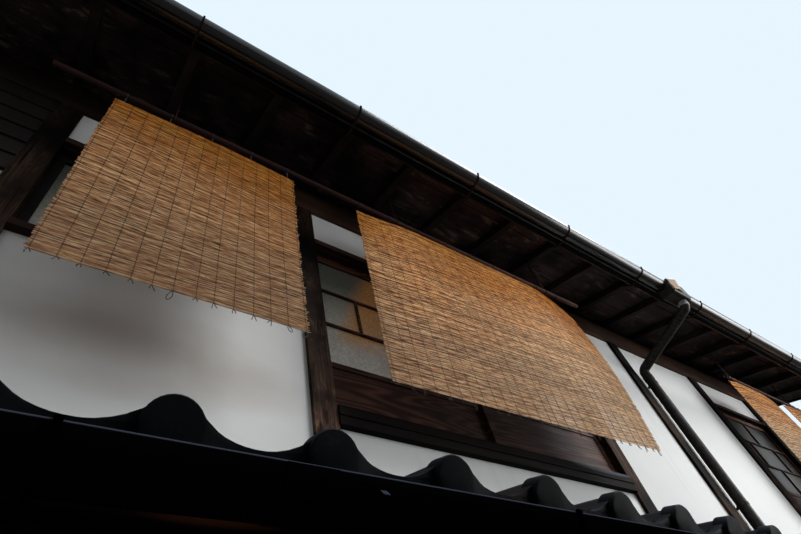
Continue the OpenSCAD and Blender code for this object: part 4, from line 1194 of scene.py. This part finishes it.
FASCIA_IN = 545 * MM
FASCIA_LOW = 4.485
BATTEN_W = 9 * MM
BATTEN_DOWN, BATTEN_UP = 1 * MM, 6 * MM
BATTEN_GAP = 2 * MM
BATTEN_TONES = (0.4, 0.7, 0.3, 0.8, 0.5)

batten = Shape()
batten_l = 2 * ROOF_X / len(BATTEN_TONES)
for k, tone in enumerate(BATTEN_TONES):
    x0 = -ROOF_X + batten_l * k
    batten.box(
        at(x0 + BATTEN_GAP, FASCIA_IN - 0.5 * MM, FASCIA_LOW - BATTEN_DOWN),
        at(x0 + batten_l - BATTEN_GAP, FASCIA_IN - BATTEN_W, FASCIA_LOW + BATTEN_UP),
        tone,
    )
batten.build("fascia_batten", BATTEN)


# Floor, light and camera

FLOOR = 40.0
floor_corners = [(-FLOOR, -FLOOR, 0), (FLOOR, -FLOOR, 0), (FLOOR, FLOOR, 0), (-FLOOR, FLOOR, 0)]
floor_mesh = bpy.data.meshes.new("floor")
floor_mesh.from_pydata(floor_corners, [], [(0, 1, 2, 3)])
floor = placed("floor", floor_mesh)
floor_mesh.materials.append(pale_floor("floor_finish", (0.62, 0.62, 0.61), (0.20, 0.20, 0.20)))

# The sky as seen and mirrored, and the dimmer one that lights the house
SKY = (0.80, 0.92, 1.0)
STUDIO = (0.95, 0.97, 1.0)
STUDIO_LEVEL = 0.22
world = bpy.data.worlds.new("studio")
bpy.context.scene.world = world
sky = Graph("studio", world)
rays = sky.node("ShaderNodeLightPath")
seen = rays.outputs["Is Camera Ray"]
for kind in ("Is Glossy Ray", "Is Transmission Ray"):
    seen = sky.math("MAXIMUM", seen, rays.outputs[kind])
studio = sky.fill(sky.tree.nodes["Background"], Color=STUDIO, Strength=STUDIO_LEVEL)
bright = sky.fill(sky.node("ShaderNodeBackground"), Color=SKY, Strength=1.0)
sky.surface(seen, studio.outputs[0], bright.outputs[0], "World Output")


def soft_lamp(name, place, target, width, height, power, spread=180):
    """An oblong lamp at a place, turned to a target."""
    lamp = bpy.data.lights.new(name, "AREA")
    lamp.shape = "RECTANGLE"
    lamp.size, lamp.size_y = width, height
    lamp.energy = power
    lamp.spread = math.radians(spread)
    holder = placed(name, lamp)
    holder.location = place
    holder.rotation_euler = (Vector(target) - Vector(place)).to_track_quat("-Z", "Y").to_euler()


soft_lamp("key", (5.5, -10, 12), (0.0, -3, 2.6), width=7, height=6, power=1550)
soft_lamp("side", (8.5, -9, 4.2), (3.2, -3, 3.6), width=6, height=5, power=170, spread=75)
soft_lamp("fill", (-10, -12, 5), (0, -3, 2.5), width=8, height=6, power=110)
soft_lamp("back_key", (-7.5, 9.5, 12), (-1.0, 3, 3.0), width=7, height=6, power=1500)

# The camera solved from the photo's straight edges
EYE = Vector((-3.000, -4.3775, 1.750))
FORWARD = Vector((0.4765, 0.4186, 0.7731)).normalized()
RIGHT = Vector((0.8109, -0.5489, -0.2026))
FOCAL_PX = 521.9
PHOTO_W = 801
SENSOR = 36.0
right = (RIGHT - FORWARD * RIGHT.dot(FORWARD)).normalized()
up = right.cross(FORWARD)
lens = bpy.data.cameras.new("camera")
lens.sensor_width = SENSOR
lens.sensor_fit = "HORIZONTAL"
lens.lens = FOCAL_PX / PHOTO_W * SENSOR
lens.clip_start = 0.02
camera = placed("camera", lens)
turn = Matrix((right, up, -FORWARD)).transposed()
camera.matrix_world = Matrix.Translation(EYE) @ turn.to_4x4()
bpy.context.scene.camera = camera

bpy.context.scene.view_settings.view_transform = "Standard"
